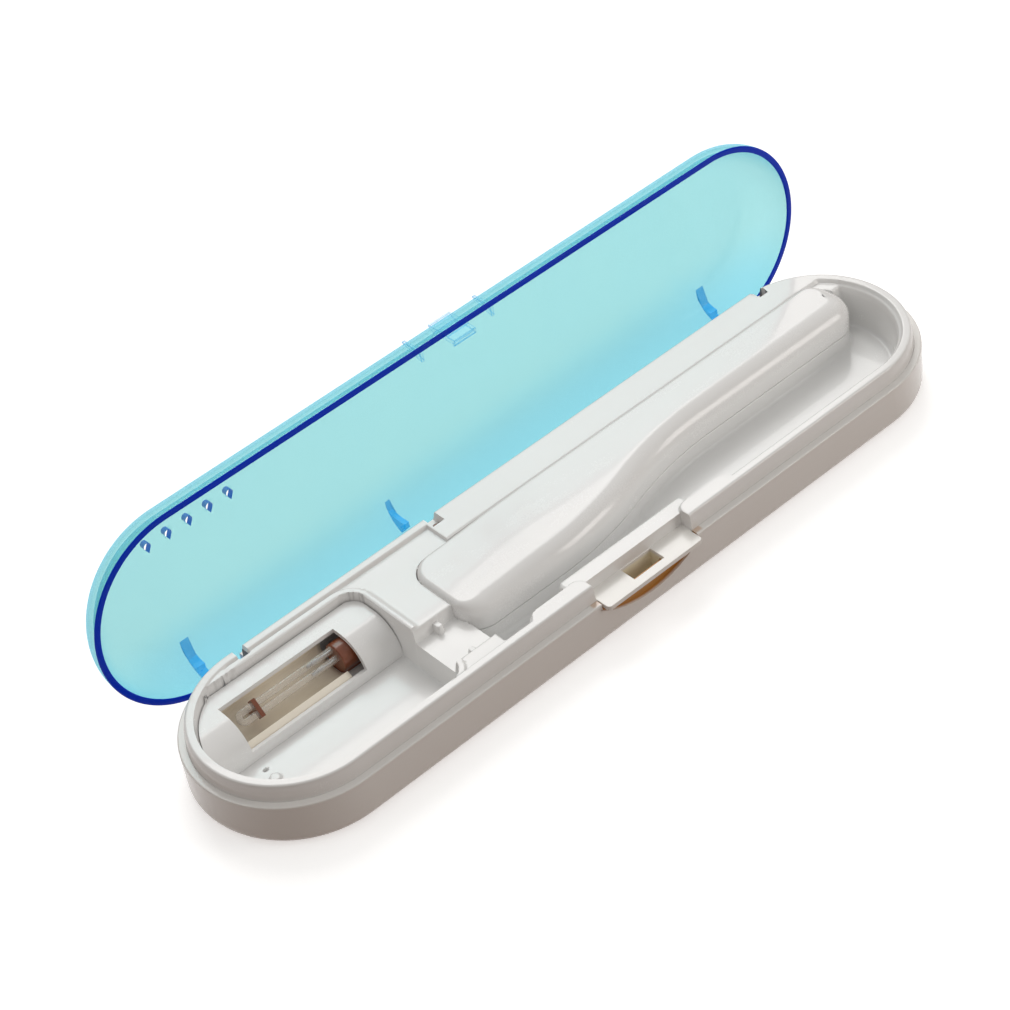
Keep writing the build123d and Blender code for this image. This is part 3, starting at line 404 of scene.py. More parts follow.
class Finish(Shader):
    """A material with one Principled BSDF. Fixed values are given by their sockets' names."""

    def __init__(self, name, **fixed):
        self.material = bpy.data.materials.new(name)
        self.material.use_nodes = True
        super().__init__(self.material.node_tree)
        self.surface = self.tree.nodes["Principled BSDF"]
        for label, value in fixed.items():
            self.set(label.replace("_", " ").title().replace("Ior", "IOR"), value)

    def set(self, label, value):
        """Feed one socket of the surface."""
        self.feed(self.surface.inputs[label], value)

    def within(self, low, high, edge=0.4):
        """One inside a box given in millimetres, nought outside, with a soft edge."""
        share = 1.0
        for letter, start, end in zip("xyz", low, high):
            axis = self.axis(letter)
            share = axis.between((start - edge) * MM, (start + edge) * MM) * share
            share = (1 - axis.between((end - edge) * MM, (end + edge) * MM)) * share
        return share

    def bump(self, height, depth, strength):
        """Let a height, with its depth in millimetres, turn the light."""
        values = {"Height": height, "Distance": depth * MM, "Strength": strength}
        self.set("Normal", self.node("Bump", values=values))

    def see_through(self, share, tint):
        """Mix the surface with clear tinted air. Share is how much of the surface is seen."""
        clear = self.node("BsdfTransparent", values={"Color": tint})
        seen = Number(self, self.surface.outputs[0])
        mixed = self.node("MixShader", values={0: share, 1: clear, 2: seen})
        self.feed(self.tree.nodes["Material Output"].inputs["Surface"], mixed)


# %% Moulded plastic
def moulded_plastic(name, colour, second, roughness, coat, tinted=()):
    """Moulded plastic: a faint drift of colour, an uneven gloss and a very fine skin.

    Each tinted place is a colour painted in a box, given with its two corners: painted shade or painted
    light.
    """
    finish = Finish(name, coat_weight=coat, coat_roughness=0.06)
    drift = finish.noise(14, detail=3)
    skin = finish.noise(0.35, detail=1)
    flow = finish.noise(5, detail=2, stretch=(0.25, 1, 1))
    shade = finish.blend(drift, colour, second)
    # Each tinted box paints light or shade over the plastic.
    for tint, low, high in tinted:
        shade = finish.blend(finish.within(low, high), shade, tint)
    finish.set("Base Color", shade)
    finish.set("Roughness", roughness + 0.1 * (flow - 0.5) + 0.06 * (skin - 0.5))
    finish.bump(skin * 0.3 + flow, 0.03, 0.12)
    return finish.material


# %% [markdown]
# ## White plastic
#
# The tub, the tray, the two covers and the button are the same glossy white plastic. Under
# warm lamps it reads as white on top and creamy in the shade, so the colour drifts between
# a cool and a warm white over a few centimetres. The hollow under the button gets painted
# shade, an amber colour, and the button's pocket gets painted light, a pale yellow.

# %% White plastic finishes
# Painted shade: an amber colour for the hollow under the button.
painted_shade_amber = (0.56, 0.27, 0.07)
# Painted light: a pale yellow for the button's pocket.
painted_light_yellow = (0.95, 0.9, 0.7)


def latch_box(half, y_range, z_range):
    """Two corners of a box in the middle of the front wall. Its y is counted from the front."""
    low = (latch_x - half, case_front + y_range[0], z_range[0])
    high = (latch_x + half, case_front + y_range[1], z_range[1])
    return low, high


# The tub gets painted shade in the hollow under the button.
white_tub = moulded_plastic(
    "white tub", (0.86, 0.84, 0.81), (0.88, 0.87, 0.85), 0.24, coat=0.3,
    tinted=[(painted_shade_amber, *latch_box(17, (0.5, 3.0), (4.4, 12.0)))],
)
# The tray gets painted light in the button's pocket.
white_tray = moulded_plastic(
    "white tray", (0.87, 0.868, 0.858), (0.89, 0.888, 0.88), 0.25, coat=0.4,
    tinted=[(painted_light_yellow, *latch_box(5, (-1, 7), (0, 8)))],
)
white_cover = moulded_plastic(
    "white cover", (0.87, 0.868, 0.86), (0.89, 0.888, 0.882), 0.26, coat=0.4
)
# The button gets painted light in its pocket.
white_button = moulded_plastic(
    "white button", (0.88, 0.86, 0.82), (0.9, 0.885, 0.85), 0.25, coat=0.3,
    tinted=[(painted_light_yellow, *latch_box(5, (-0.4, 5.2), (0, 11.2)))],
)

# %% [markdown]
# ## The camera
#
# A photographer stands about 61 cm away, to the left of the latch and well above it, and
# holds the camera a little turned. Its place and turn are given by the eye and by the
# directions of its right and upper edges.

# %% Camera
eye = np.array((-274.7, -356.8, 418.3))
look_right = np.array((0.736, -0.6656, -0.1235))
look_up = np.array((0.516, 0.4334, 0.7388))
focal_length = 94.5

camera_data = bpy.data.cameras.new("camera")
camera_data.lens = focal_length
camera_data.sensor_width = 36
camera_data.clip_start = 0.01
camera_data.clip_end = 20
camera = add_object("camera", camera_data)
axes, lengths = np.linalg.qr(np.column_stack([look_right, look_up, np.cross(look_right, look_up)]))
placed = np.eye(4)
placed[:3, :3] = axes * np.sign(np.diag(lengths))
placed[:3, 3] = eye * MM
camera.matrix_world = Matrix(placed.tolist())
bpy.context.scene.camera = camera
print(f"camera {np.linalg.norm(eye):.0f} mm from the middle of the case")

# %% [markdown]
# ## Walking round the case
#
# The case's outline is a straight run, a half circle, a straight run back and a half circle.
# A walk round it gives each station a middle point on the case's own middle line and an
# outward direction, so any ring at any distance from the edge is one sum. Rings that follow
# the outline keep the lip and the pocket walls clean, even round the ends.

# %% The walk round the case
def case_walk(straight_x, end_steps):
    """Middle points and outward directions, anticlockwise from the front left."""
    flat = np.zeros_like(straight_x)
    turn = np.linspace(-math.pi / 2, math.pi / 2, end_steps + 1)[1:-1]
    end = np.full_like(turn, straight_half)
    middles_x = np.concatenate([straight_x, end, straight_x[::-1], -end])
    out_x = np.concatenate([flat, np.cos(turn), flat, -np.cos(turn)])
    out_y = np.concatenate([flat - 1, np.sin(turn), flat + 1, -np.sin(turn)])
    return np.column_stack([middles_x, 0 * middles_x]), np.column_stack([out_x, out_y])


def carry_round(middles, directions, insets, heights):
    """Carry a section round the case: each of its points stands at its inset from the edge."""
    flat = middles[None] + directions[None] * (case_radius - insets)[:, None, None]
    upright = np.broadcast_to(np.asarray(heights)[:, None], flat.shape[:2])
    return np.dstack([flat, upright])


# %% [markdown]
# ## Distances
#
# Pockets are drawn by how far a point lies outside or inside their edge. A rectangle with
# round corners and the case's outline are short formulas, and two pockets join with the
# smaller distance and cut each other with the larger.

# %% Distances to edges
def past_box(x, y, low, high, corner):
    """Distance outside a rectangle with round corners, less than nought inside it."""
    across = np.abs(x - (low[0] + high[0]) / 2) - (high[0] - low[0]) / 2 + corner
    along = np.abs(y - (low[1] + high[1]) / 2) - (high[1] - low[1]) / 2 + corner
    outside = np.hypot(np.maximum(across, 0), np.maximum(along, 0))
    return outside + np.minimum(np.maximum(across, along), 0) - corner


def inside_case(x, y):
    """Distance inward from the case's outer edge."""
    return case_radius - np.hypot(np.maximum(np.abs(x) - straight_half, 0), y)


def soft_bend(share):
    """Climb from nought to one along two equal bows, the first up and the second over."""
    share = np.clip(share, 0, 1)
    return np.where(share < 0.5, 2 * share**2, 1 - 2 * (1 - share) ** 2)


cover_corner = 6.5
cover_narrow_front = cover_high[1] - 13.8
cover_bend_start = cover_low[0] + 26.0
cover_bend_length = 57.0


def cover_front(x):
    """Front edge of the battery cover at x: wide, then one long bend to its narrow part."""
    share = soft_bend((x - cover_bend_start) / cover_bend_length)
    return cover_low[1] + (cover_narrow_front - cover_low[1]) * share


def past_cover(x, y):
    """Distance outside the battery cover's plan, near enough for its gentle bend."""
    low = (cover_low[0], cover_front(x))
    return past_box(x, y, low, (cover_high[0], cover_high[1]), cover_corner)


# %% [markdown]
# ## The tray
#
# The tray is one moulding: a lip that the lid closes over, a deck, and pockets cut down from
# it for the lamp, for what is laid in, for the cells and for the latch. A sheet that only
# has one height over each place can be worked out whole, as a height for every point of a
# fine grid. The grid follows the case's outline, and its lines crowd where walls stand.

# %% Tray sizes
lip_inset = 2.0
lip_lean = 0.9
lip_top = tray_high[2]
lip_foot = ledge_height - 2.5
lip_inner_inset = 4.3
skirt_inset = 1.85
deck_top = lip_top - 1.0
pocket_inset = 4.9

bay_right = housing_high[0] + 0.2
bay_back = housing_high[1] + 0.2
bay_floor = housing_low[2]
bay_corner = 4.5
bay_rim_width = 1.6
bay_rim_top = deck_top + 0.6
bay_clearance = 0.45
drain_place = (case_left + 15.5, case_front + 24.5)
drain_radius = 0.6
drain_depth = 2.0
boss_place = (case_left + 15.3, case_front + 20.8)
boss_radius = 1.0
boss_rise = 0.8

saddle_right = cover_low[0]
saddle_front = case_front + 8.3
saddle_back = saddle_front + 15.0
saddle_floor = 11.8
saddle_overlap = 3
saddle_rib_x = (bay_right + saddle_right) / 2 + 0.5
saddle_rib_half = (0.5, 1.2)
saddle_rib_rise = 2.2

channel_front = case_front + 5.0
channel_floor = 4.8
channel_end = (cover_high[0] - 1.0, cover_narrow_front + 2.0)
notch_left = cover_high[0] - 7.0
notch_back = case_radius - 16.3

seat_floor = cover_low[2] - 0.2
seat_cut = seat_floor - 0.08
seat_gap = 0.25
rail_width = 2.5
rail_hidden = 0.6
board_gap = 2.6
cell_low, cell_high = node_box("cell_left")
well_left = node_box("contact_plate_left")[0][0]
well_right = node_box("contact_plate_right")[1][0]
well_gap = 0.35
well_floor = cell_low[2] - 0.3

strip_left = switch_x - 2.1
strip_front = cover_high[1] + seat_gap + 0.3
latch_gap_half = 15.3
latch_gap_back = case_front + 5.5
latch_floor = button_low[2] - 0.3
latch_wall = 3.3
latch_wall_back = button_high[1] + 3.0
pad_length = 15.6
pad_back = case_front + 6.5
pad_corner = 2.4

hinge_slot_half = 1.6
hinge_slot_front = hinge_y - 3.1
hinge_slot_floor = 6.0
switch_slot_half = 1.7
switch_slot_front, switch_slot_back = switch_y - 1.2, switch_y + 1.2
switch_shelf = 13.9
switch_hole_floor = 12.0
beyond_edge = 5
print(f"tray: lip at {lip_top:.1f} mm, deck at {deck_top:.1f} mm, channel floor at {channel_floor:.1f} mm")


# %% Distances to the edges of the tray's pockets
def past_bay(x, y):
    """Distance outside the lamp bay, which follows the case's round end."""
    low = (case_left, case_front + pocket_inset)
    box = past_box(x, y, low, (bay_right, bay_back), bay_corner)
    return np.maximum(box, pocket_inset - inside_case(x, y))


def past_wide_bay(x, y):
    """Distance outside the bay's wall, which clears the lamp's cover."""
    return past_bay(x, y) - bay_clearance


def past_seat(x, y):
    """Distance outside the cover's seat, a hair wider than the cover."""
    return past_cover(x, y) - seat_gap


def past_notch(x, y):
    """Distance outside the notch at the far end of the long channel."""
    return past_box(x, y, (notch_left, channel_front), (-case_left, notch_back), 0.5)


def past_channel(x, y):
    """Distance outside the long channel, which runs on under the cover's seat."""
    run = past_box(x, y, (saddle_right, channel_front), channel_end, 1.0)
    both = np.maximum(np.minimum(run, past_notch(x, y)), pocket_inset - inside_case(x, y))
    latch_low = (latch_x - latch_gap_half - latch_wall, case_front)
    latch_high = (latch_x + latch_gap_half + latch_wall, latch_wall_back)
    latch = past_box(x, y, latch_low, latch_high, 0.6)
    pads_half = latch_gap_half + pad_length
    pads = past_box(x, y, (latch_x - pads_half, case_front), (latch_x + pads_half, pad_back), pad_corner)
    return np.maximum(both, -np.minimum(latch, pads))


# %% Deck, cuts and raised details
def deck_height(x, y):
    """The tray before any pocket is cut: deck, lip, back strip, front pads and bay rim."""
    edge = inside_case(x, y)
    height = wall_down(edge - lip_inner_inset, lip_top, deck_top, edge=0.3, foot=0.4, slope=5)
    strip = np.maximum(strip_left - x, strip_front - y)
    height = np.maximum(height, wall_down(strip, lip_top, deck_top, edge=0.3, foot=0.2))
    for side in (-1, 1):
        near = latch_x + side * latch_gap_half
        far = near + side * pad_length
        pad = past_box(x, y, (min(near, far), case_front), (max(near, far), pad_back), pad_corner)
        height = np.maximum(height, wall_down(pad, lip_top, deck_top, edge=0.4, foot=0.3, slope=3))
    rim = past_bay(x, y) - bay_rim_width
    height = np.maximum(height, wall_down(rim, bay_rim_top, deck_top, edge=0.25, foot=0.2))
    outer = lip_inset + lip_lean - edge
    return np.minimum(height, wall_down(outer, lip_top, lip_foot, edge=0.6, foot=0.1, slope=4.8))


def cut(height, past, top, floor, **section):
    """Cut a pocket down from its edge."""
    return np.where(past < 0, np.minimum(height, wall_down(-past, top, floor, **section)), height)


def cut_slot(height, x, y, middle, half, y_range, floor, corner=0.0, edge=0.2, slope=40):
    """Cut a straight slot from the lip's top down to a floor."""
    past = past_box(x, y, (middle - half, y_range[0]), (middle + half, y_range[1]), corner)
    return cut(height, past, lip_top, floor, edge=edge, foot=0.1, slope=slope)


def raised(height, past, top, floor, reach, **section):
    """Raise a small detail from a floor. Past its reach the sheet stays as it was."""
    return np.where(past < reach, np.maximum(height, wall_down(past, top, floor, **section)), height)


# %% Heights of the tray's top
def small_details(height, x, y):
    """The slots for latch, hinge arms and switch, the bay's drain and boss, the saddle's ribs."""
    latch_range = (case_front - beyond_edge, latch_gap_back)
    height = cut_slot(
        height, x, y, latch_x, latch_gap_half, latch_range, latch_floor, corner=0.2, edge=0.3
    )
    back = case_radius + beyond_edge
    for hinge_x in hinge_places:
        hinge_range = (hinge_slot_front, back)
        height = cut_slot(height, x, y, hinge_x, hinge_slot_half, hinge_range, hinge_slot_floor)
    shelf_range, hole_range = (switch_slot_front, back), (switch_slot_front, switch_slot_back)
    height = cut_slot(height, x, y, switch_x, switch_slot_half, shelf_range, switch_shelf, slope=30)
    height = cut_slot(height, x, y, switch_x, switch_slot_half, hole_range, switch_hole_floor, edge=0.1)
    drain = np.hypot(x - drain_place[0], y - drain_place[1]) - drain_radius
    drain_floor = bay_floor - drain_depth
    height = cut(height, drain, bay_floor, drain_floor, edge=0.1, foot=0.1, slope=20)
    boss = np.hypot(x - boss_place[0], y - boss_place[1]) - boss_radius
    boss_top = bay_floor + boss_rise
    height = raised(height, boss, boss_top, bay_floor, reach=0.8, edge=0.3, foot=0.2, slope=6)
    across, along = saddle_rib_half
    rib_top = saddle_floor + saddle_rib_rise
    for rib_y in (saddle_front + along, saddle_back - along):
        low = (saddle_rib_x - across, rib_y - along)
        rib = past_box(x, y, low, (saddle_rib_x + across, rib_y + along), 0.3)
        height = raised(height, rib, rib_top, saddle_floor, reach=0.6, edge=0.3, foot=0.2, slope=12)
    return height


def tray_height(x, y):
    """The whole tray: the deck with each pocket cut from it in turn."""
    height = deck_height(x, y)
    height = cut(height, past_wide_bay(x, y), bay_rim_top, bay_floor, edge=0.35, foot=0.6, slope=50)
    saddle_low = (bay_right - saddle_overlap, saddle_front)
    saddle = past_box(x, y, saddle_low, (saddle_right + saddle_overlap, saddle_back), 0.5)
    height = cut(height, saddle, deck_top, saddle_floor, edge=0.5, foot=0.5)
    height = cut(height, past_channel(x, y), deck_top, channel_floor, edge=0.6, foot=1.4)
    height = cut(height, past_seat(x, y), deck_top, seat_cut, edge=0.3, foot=0.2, slope=30)
    hidden = past_cover(x, y) + rail_hidden
    height = np.maximum(height, wall_down(hidden, seat_cut, channel_floor, edge=0.1, foot=0.1))
    well_low = (well_left, cell_low[1] - well_gap)
    well = past_box(x, y, well_low, (well_right, cell_high[1] + well_gap), 0.3)
    height = cut(height, well, seat_floor, well_floor, edge=0.3, foot=0.5, slope=25)
    return small_details(height, x, y)


def snapped(x, y, past, reach=0.25):
    """Move the points that lie near an edge straight onto it, so that walls run clean."""
    step = 0.02
    across = (past(x + step, y) - past(x - step, y)) / (2 * step)
    along = (past(x, y + step) - past(x, y - step)) / (2 * step)
    gap = past(x, y)
    gap = np.where((np.abs(gap) < reach) & (np.hypot(across, along) > 0.7), gap, 0)
    return x - gap * across, y - gap * along


# %% Make the tray
# Where walls stand, along the case and inward from its edge. The grid's lines crowd there.
wall_places = [
    bay_right - 0.5, saddle_right + 0.3, strip_left, switch_x, saddle_rib_x, well_left,
    *[place + side * hinge_slot_half for place in hinge_places for side in (-1, 1)],
    latch_x - latch_gap_half - pad_length, latch_x - latch_gap_half, latch_x + latch_gap_half,
    latch_x + latch_gap_half + pad_length, saddle_right + 6,
]
wall_insets = [2.9, 4.4, 5.4, 6.2, 6.9, 8.4, 11.3, 11.7, 20.9, 23.1]
# The first rows are the lip's outer face. Only the rows after them are moved onto edges.
lip_rows = 2
straight_x = spaced(-straight_half, straight_half, 0.5, 0.2, wall_places, reach=1.3)
ring_insets = spaced(lip_inset, case_radius, 0.42, 0.18, wall_insets, reach=0.5)
middles, directions = case_walk(straight_x, 150)
tray_top = carry_round(middles, directions, ring_insets, np.zeros(len(ring_insets)))
flat_x, flat_y = tray_top[lip_rows:, :, 0], tray_top[lip_rows:, :, 1]
for past in (past_wide_bay, past_seat, past_notch):
    flat_x, flat_y = snapped(flat_x, flat_y, past)
tray_top[lip_rows:, :, 0], tray_top[lip_rows:, :, 1] = flat_x, flat_y
tray_top[..., 2] = tray_height(tray_top[..., 0], tray_top[..., 1])
skirt_heights = np.linspace(ledge_height - 3, ledge_height - 0.1, 3)
skirt = carry_round(middles, directions, np.full(len(skirt_heights), skirt_inset), skirt_heights)
skirt[..., 2] = np.minimum(skirt[..., 2], tray_top[0, :, 2])
tray_points = np.concatenate([skirt, tray_top])
tray_faces = grid_quads(*tray_points.shape[:2], closed=True)

# %% Open the tray over the board and in the hinge slots
slot_open_inset = 6.5
slot_open_below = 11.8
x, y, z = face_middles(tray_points, tray_faces)
open_to_board = (past_cover(x, y) < -rail_width) & (x < well_left - board_gap)
open_slots = (z < slot_open_below) & (y > 0) & (inside_case(x, y) < slot_open_inset)
open_slots &= np.abs(x) < hinge_places[1] + 2
tray_faces = tray_faces[~(open_to_board | open_slots)]
print(f"tray sheet of {len(tray_faces)} faces")

# %% [markdown]
# ## The rail under the cover's front
#
# Beside the cover the channel's wall rises to the seat. It bends with the cover, across the
# grid, so it gets its own strip: a section with a fillet at its foot and a round at its top,
# carried along the edge of the cover's plan.

# %% Carry the rail along the cover
def corner_walk(centre, radius, start, end, steps):
    """Points round a corner of the plan, from one angle to another."""
    angle = np.radians(np.linspace(start, end, steps + 1))
    return np.column_stack([centre[0] + radius * np.cos(angle), centre[1] + radius * np.sin(angle)])


def cover_side(front):
    """One long side of the cover's plan with its two corners, from left to right."""
    side = -1 if front else 1
    left, right = cover_low[0] + cover_corner, cover_high[0] - cover_corner
    body_x = spaced(left, right, 0.7)
    edge = cover_front(body_x) if front else np.full_like(body_x, cover_high[1])
    left_centre = (left, edge[0] - side * cover_corner)
    right_centre = (right, edge[-1] - side * cover_corner)
    left_corner = corner_walk(left_centre, cover_corner, 180, 180 - side * 90, 16)
    right_corner = corner_walk(right_centre, cover_corner, side * 90, 0, 16)
    return np.vstack([left_corner, np.column_stack([body_x, edge])[1:-1], right_corner])


def turned_left(along):
    """Directions turned a quarter to the left, each one unit long."""
    along = along / np.linalg.norm(along, axis=1)[:, None]
    return np.column_stack([-along[:, 1], along[:, 0]])


rail_foot_round = 1.0
rail_edge_round = 0.3
rail_lean = 0.1
rail_overlap = 0.3
foot_run, foot_rise = quarter(rail_foot_round, 5)
edge_run, edge_rise = quarter(rail_edge_round, 4)
rail_inward = np.concatenate([foot_rise - rail_foot_round, rail_lean + edge_run, [rail_width]])
rail_heights = np.concatenate([
    channel_floor + foot_run, seat_floor - rail_edge_round + edge_rise, [seat_floor],
])
rail_end = np.array([(cover_high[0], notch_back + rail_overlap)])
rail_edge = np.vstack([cover_side(front=True), rail_end])
rail_in = turned_left(np.gradient(rail_edge, axis=0))
rail_flat = rail_edge[None] + rail_in[None] * rail_inward[:, None, None]
rail_points = np.dstack([rail_flat, rail_heights[:, None] + 0 * rail_flat[..., 0]])
rail_faces = grid_quads(*rail_points.shape[:2]) + tray_points[..., 0].size
make_piece(
    "tray_moulding", np.vstack([tray_points.reshape(-1, 3), rail_points.reshape(-1, 3)]),
    np.vstack([tray_faces, rail_faces]), white_tray, "base",
    stands_for=["inner_tray"], slot="white_plastic", sharp=50,
)

# %% [markdown]
# ## The tub
#
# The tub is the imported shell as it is: its roundings are already fine, and its slots for the
# hinge and the latch are cut. It only needs its finish.

# %% Finish of the tub
def dress(node, finish):
    """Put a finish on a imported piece."""
    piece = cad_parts[node]
    piece.data.materials.clear()
    piece.data.materials.append(finish)


dress("lower_shell", white_tub)

# %% [markdown]
# ## The battery cover
#
# The long hump is a soft loaf. In front and at its right end a generous round falls to the
# rail, while at the back and on the left the edge is crisp and lies flush with the deck. So
# each station of the plan's edge has its own radius, found from the way it faces. Rings drawn
# in along that quarter round make the sides, and strips from the front to the back make the
# top. The same sums, a wall's thickness further in, make the inside.

# %% Make the battery cover
cover_wall = 1.2
cover_rise = 1.1
rise_length = 40.0
soft_round, back_round, left_round = 5.0, 1.2, 1.6
least_round = 0.3
foot_round = 0.25
end_steps = 15
front_side, back_side = cover_side(front=True), cover_side(front=False)
right_end = np.linspace(front_side[-1], back_side[-1], end_steps)[1:-1]
left_end = np.linspace(back_side[0], front_side[0], end_steps)[1:-1]
cover_edge = np.vstack([front_side, right_end, back_side[::-1], left_end])
inward = turned_left(np.roll(cover_edge, -1, axis=0) - np.roll(cover_edge, 1, axis=0))
facing = inward.clip(0) ** 2
away = (-inward).clip(0) ** 2
edge_round = soft_round * (facing[:, 1] + away[:, 0]) + back_round * away[:, 1] + left_round * facing[:, 0]


def cover_top(x):
    """Height of the cover's top, which climbs softly from its left end."""
    climb = soft_bend((x - cover_low[0]) / rise_length)
    return cover_high[2] - cover_rise * (1 - climb)


def cover_skin(inset):
    """Rings and top strips of the cover's skin, drawn in from its surface by an inset."""
    edge = cover_edge + inward * inset
    radius = (edge_round - inset).clip(least_round)
    top = cover_top(edge[:, 0]) - inset
    run, rise = quarter(1.0, 16)
    drawn_in = edge[None] + inward[None] * (run[:, None] * radius)[..., None]
    rings = np.dstack([drawn_in, top - radius + rise[:, None] * radius])
    foot = np.column_stack([edge, np.full(len(edge), cover_low[2] + foot_round)])
    rings = np.concatenate([foot[None], rings])
    last, count = rings[-1], len(front_side)
    back_start = count + end_steps - 2
    near, far = last[:count], last[back_start : back_start + count][::-1]
    share = np.linspace(0, 1, end_steps)[:, None, None]
    top_grid = near[None] * (1 - share) + far[None] * share
    last[count:back_start] = top_grid[1:-1, -1]
    last[2 - end_steps :] = top_grid[-2:0:-1, 0]
    return rings, top_grid


outer_rings, outer_top = cover_skin(0.0)
inner_rings, inner_top = cover_skin(cover_wall)
lip_rings = np.array([
    np.column_stack([cover_edge + inward * run, np.full(len(cover_edge), cover_low[2])])
    for run in (cover_wall - foot_round, foot_round)
])
cover_rings = np.concatenate([inner_rings[::-1], lip_rings, outer_rings])
make_piece(
    "battery_cover_loaf", *join_grids((cover_rings, True), (outer_top, False), (inner_top, False)),
    white_cover, "cover_body", outward=True, stands_for=["battery_cover"], slot="white_plastic",
)

# %% [markdown]
# ## The lamp's cover
#
# A flat top that rolls down in front, with a window cut through both. The section is a line
# of points, and each row of it runs from the bay's round end to its right wall. Left out
# faces make the window, and the wall's thickness shows in its edges.

# %% Make the lamp's cover
housing_roll = 8.2
housing_wall = 1.2
housing_back_round = 0.4
housing_foot = bay_floor + 0.05
window_left = case_left + 15.5
window_right = bay_right - 10.0
window_back = housing_high[1] - 4.7
window_bottom = 7.6

front_y, back_y, top_z = housing_low[1], housing_high[1], housing_high[2]
roll_middle_y, roll_middle_z = front_y + housing_roll, top_z - housing_roll
window_angle = math.asin((window_bottom - roll_middle_z) / housing_roll)
roll_angle = np.concatenate([
    np.linspace(0, window_angle, 9)[:-1], np.linspace(window_angle, math.pi / 2, 17),
])
roll_y = roll_middle_y - housing_roll * np.cos(roll_angle)
roll_z = roll_middle_z + housing_roll * np.sin(roll_angle)
flat_y = np.concatenate([
    np.linspace(roll_middle_y, window_back, 5)[1:],
    np.linspace(window_back, back_y - housing_back_round, 10)[1:],
])
edge_run, edge_rise = quarter(housing_back_round, 4)
edge_y = back_y - edge_run[-2::-1]
edge_z = top_z - housing_back_round + edge_rise[-2::-1]
section_y = np.concatenate([[front_y], roll_y, flat_y, edge_y, [back_y]])
section_z = np.concatenate([
    [housing_foot], roll_z, np.full_like(flat_y, top_z), edge_z, [housing_foot],
])

end_radius = case_radius - pocket_inset - 0.2
corner_radius = bay_corner - 0.2
left_x = -straight_half - np.sqrt(end_radius**2 - section_y**2)
past_corner = np.clip(section_y - (back_y - corner_radius), 0, corner_radius)
right_x = housing_high[0] - corner_radius + np.sqrt(corner_radius**2 - past_corner**2)
share = [np.linspace(0, 1, steps + 1)[None] for steps in (30, 44, 16)]
grid_x = np.hstack([
    left_x[:, None] + (window_left - left_x)[:, None] * share[0],
    window_left + (window_right - window_left) * share[1][:, 1:] + 0 * left_x[:, None],
    window_right + (right_x - window_right)[:, None] * share[2][:, 1:],
])
housing_points = np.dstack([grid_x, section_y[:, None] + 0 * grid_x, section_z[:, None] + 0 * grid_x])
housing_faces = grid_quads(*grid_x.shape)
x, y, z = face_middles(housing_points, housing_faces)
in_window = (x > window_left) & (x < window_right) & (y < window_back) & (z > window_bottom)
housing = make_piece(
    "lamp_cover_moulding", housing_points, housing_faces[~in_window], white_cover, "base",
    stands_for=["lamp_housing"], slot="white_plastic",
)
thicken(housing, housing_wall)
soften(housing, 0.18, segments=2, angle=50)

# %% [markdown]
# ## Reflector, lamp and socket
#
# Behind the window a rolled bright sheet throws the lamp's light forward. The lamp is a thin
# glass tube bent into a narrow U, so it is a circle carried along two straights and a half
# turn. Its two legs end in a dark red-brown socket.

# %% Finishes of the lamp's pieces
def rolled_metal():
    """Bright sheet that was rolled along the case: fine lines and a warm tint."""
    finish = Finish("reflector sheet", metallic=0.12)
    lines = finish.noise(0.6, detail=3, stretch=(0.02, 1, 1))
    cloud = finish.noise(9)
    finish.set("Base Color", finish.blend(cloud, (0.9, 0.81, 0.66), (0.97, 0.91, 0.8)))
    finish.set("Roughness", 0.3 + 0.16 * lines)
    finish.bump(lines, 0.02, 0.3)
    return finish.material


def tube_glass():
    """Thin glass: nearly clear, with milky streaks along it, browner where it is seen edge on."""
    finish = Finish("tube glass", roughness=0.04, specular_ior_level=0.9, coat_weight=1.0)
    cloud = finish.noise(4, stretch=(0.1, 1, 1))
    facing = finish.edge_on()
    finish.set("Base Color", finish.blend(facing, (0.82, 0.77, 0.7), (0.5, 0.42, 0.34)))
    finish.set("Alpha", 0.16 + 0.14 * cloud + 0.45 * facing)
    return finish.material


def dark_moulding(name, colour, second, roughness=0.25):
    """Dark hard plastic with a cloudy depth."""
    finish = Finish(name, coat_weight=0.5)
    cloud = finish.noise(2.5, detail=4)
    skin = finish.noise(0.4)
    finish.set("Base Color", finish.blend(cloud, colour, second))
    finish.set("Roughness", roughness + 0.12 * skin)
    finish.bump(skin, 0.03, 0.2)
    return finish.material


reflector_finish = rolled_metal()
glass_finish = tube_glass()
brown_finish = dark_moulding("red brown socket", (0.13, 0.03, 0.012), (0.3, 0.085, 0.03))
black_finish = dark_moulding("black moulding", (0.012, 0.012, 0.013), (0.03, 0.03, 0.032), 0.35)

# %% Make the reflector and the lamp
reflector_radius = 5.2
reflector_wall = 0.35
trough_front = housing_low[1] + 1.7
trough_fall = 0.9
reflector_y = reflector_high[1] - reflector_radius
reflector_z = reflector_low[2] + reflector_radius
trough_angle = np.radians(np.linspace(-150, 20, 52))
trough_x = spaced(reflector_low[0], reflector_high[0], 1.2)
trough_y = reflector_y + reflector_radius * np.cos(trough_angle)
trough_z = reflector_z + reflector_radius * np.sin(trough_angle)
trough_y = np.concatenate([np.linspace(trough_front, trough_y[0], 4)[:-1], trough_y])
trough_z = np.concatenate([np.linspace(trough_z[0] - trough_fall, trough_z[0], 4)[:-1], trough_z])
across = np.ones((len(trough_x), len(trough_y)))
trough = np.dstack([trough_x[:, None] * across, trough_y * across, trough_z * across])
reflector = make_piece(
    "reflector_sheet", *join_grids((trough, False)), reflector_finish, "base",
    stands_for=["reflector"], slot="reflector_metal",
)
thicken(reflector, reflector_wall)

lamp_radius = 0.85
leg_offset = 1.1
lamp_tilt = math.radians(42.5)
lamp_z = (lamp_low[2] + lamp_high[2]) / 2
bend_x = lamp_low[0] + leg_offset + lamp_radius


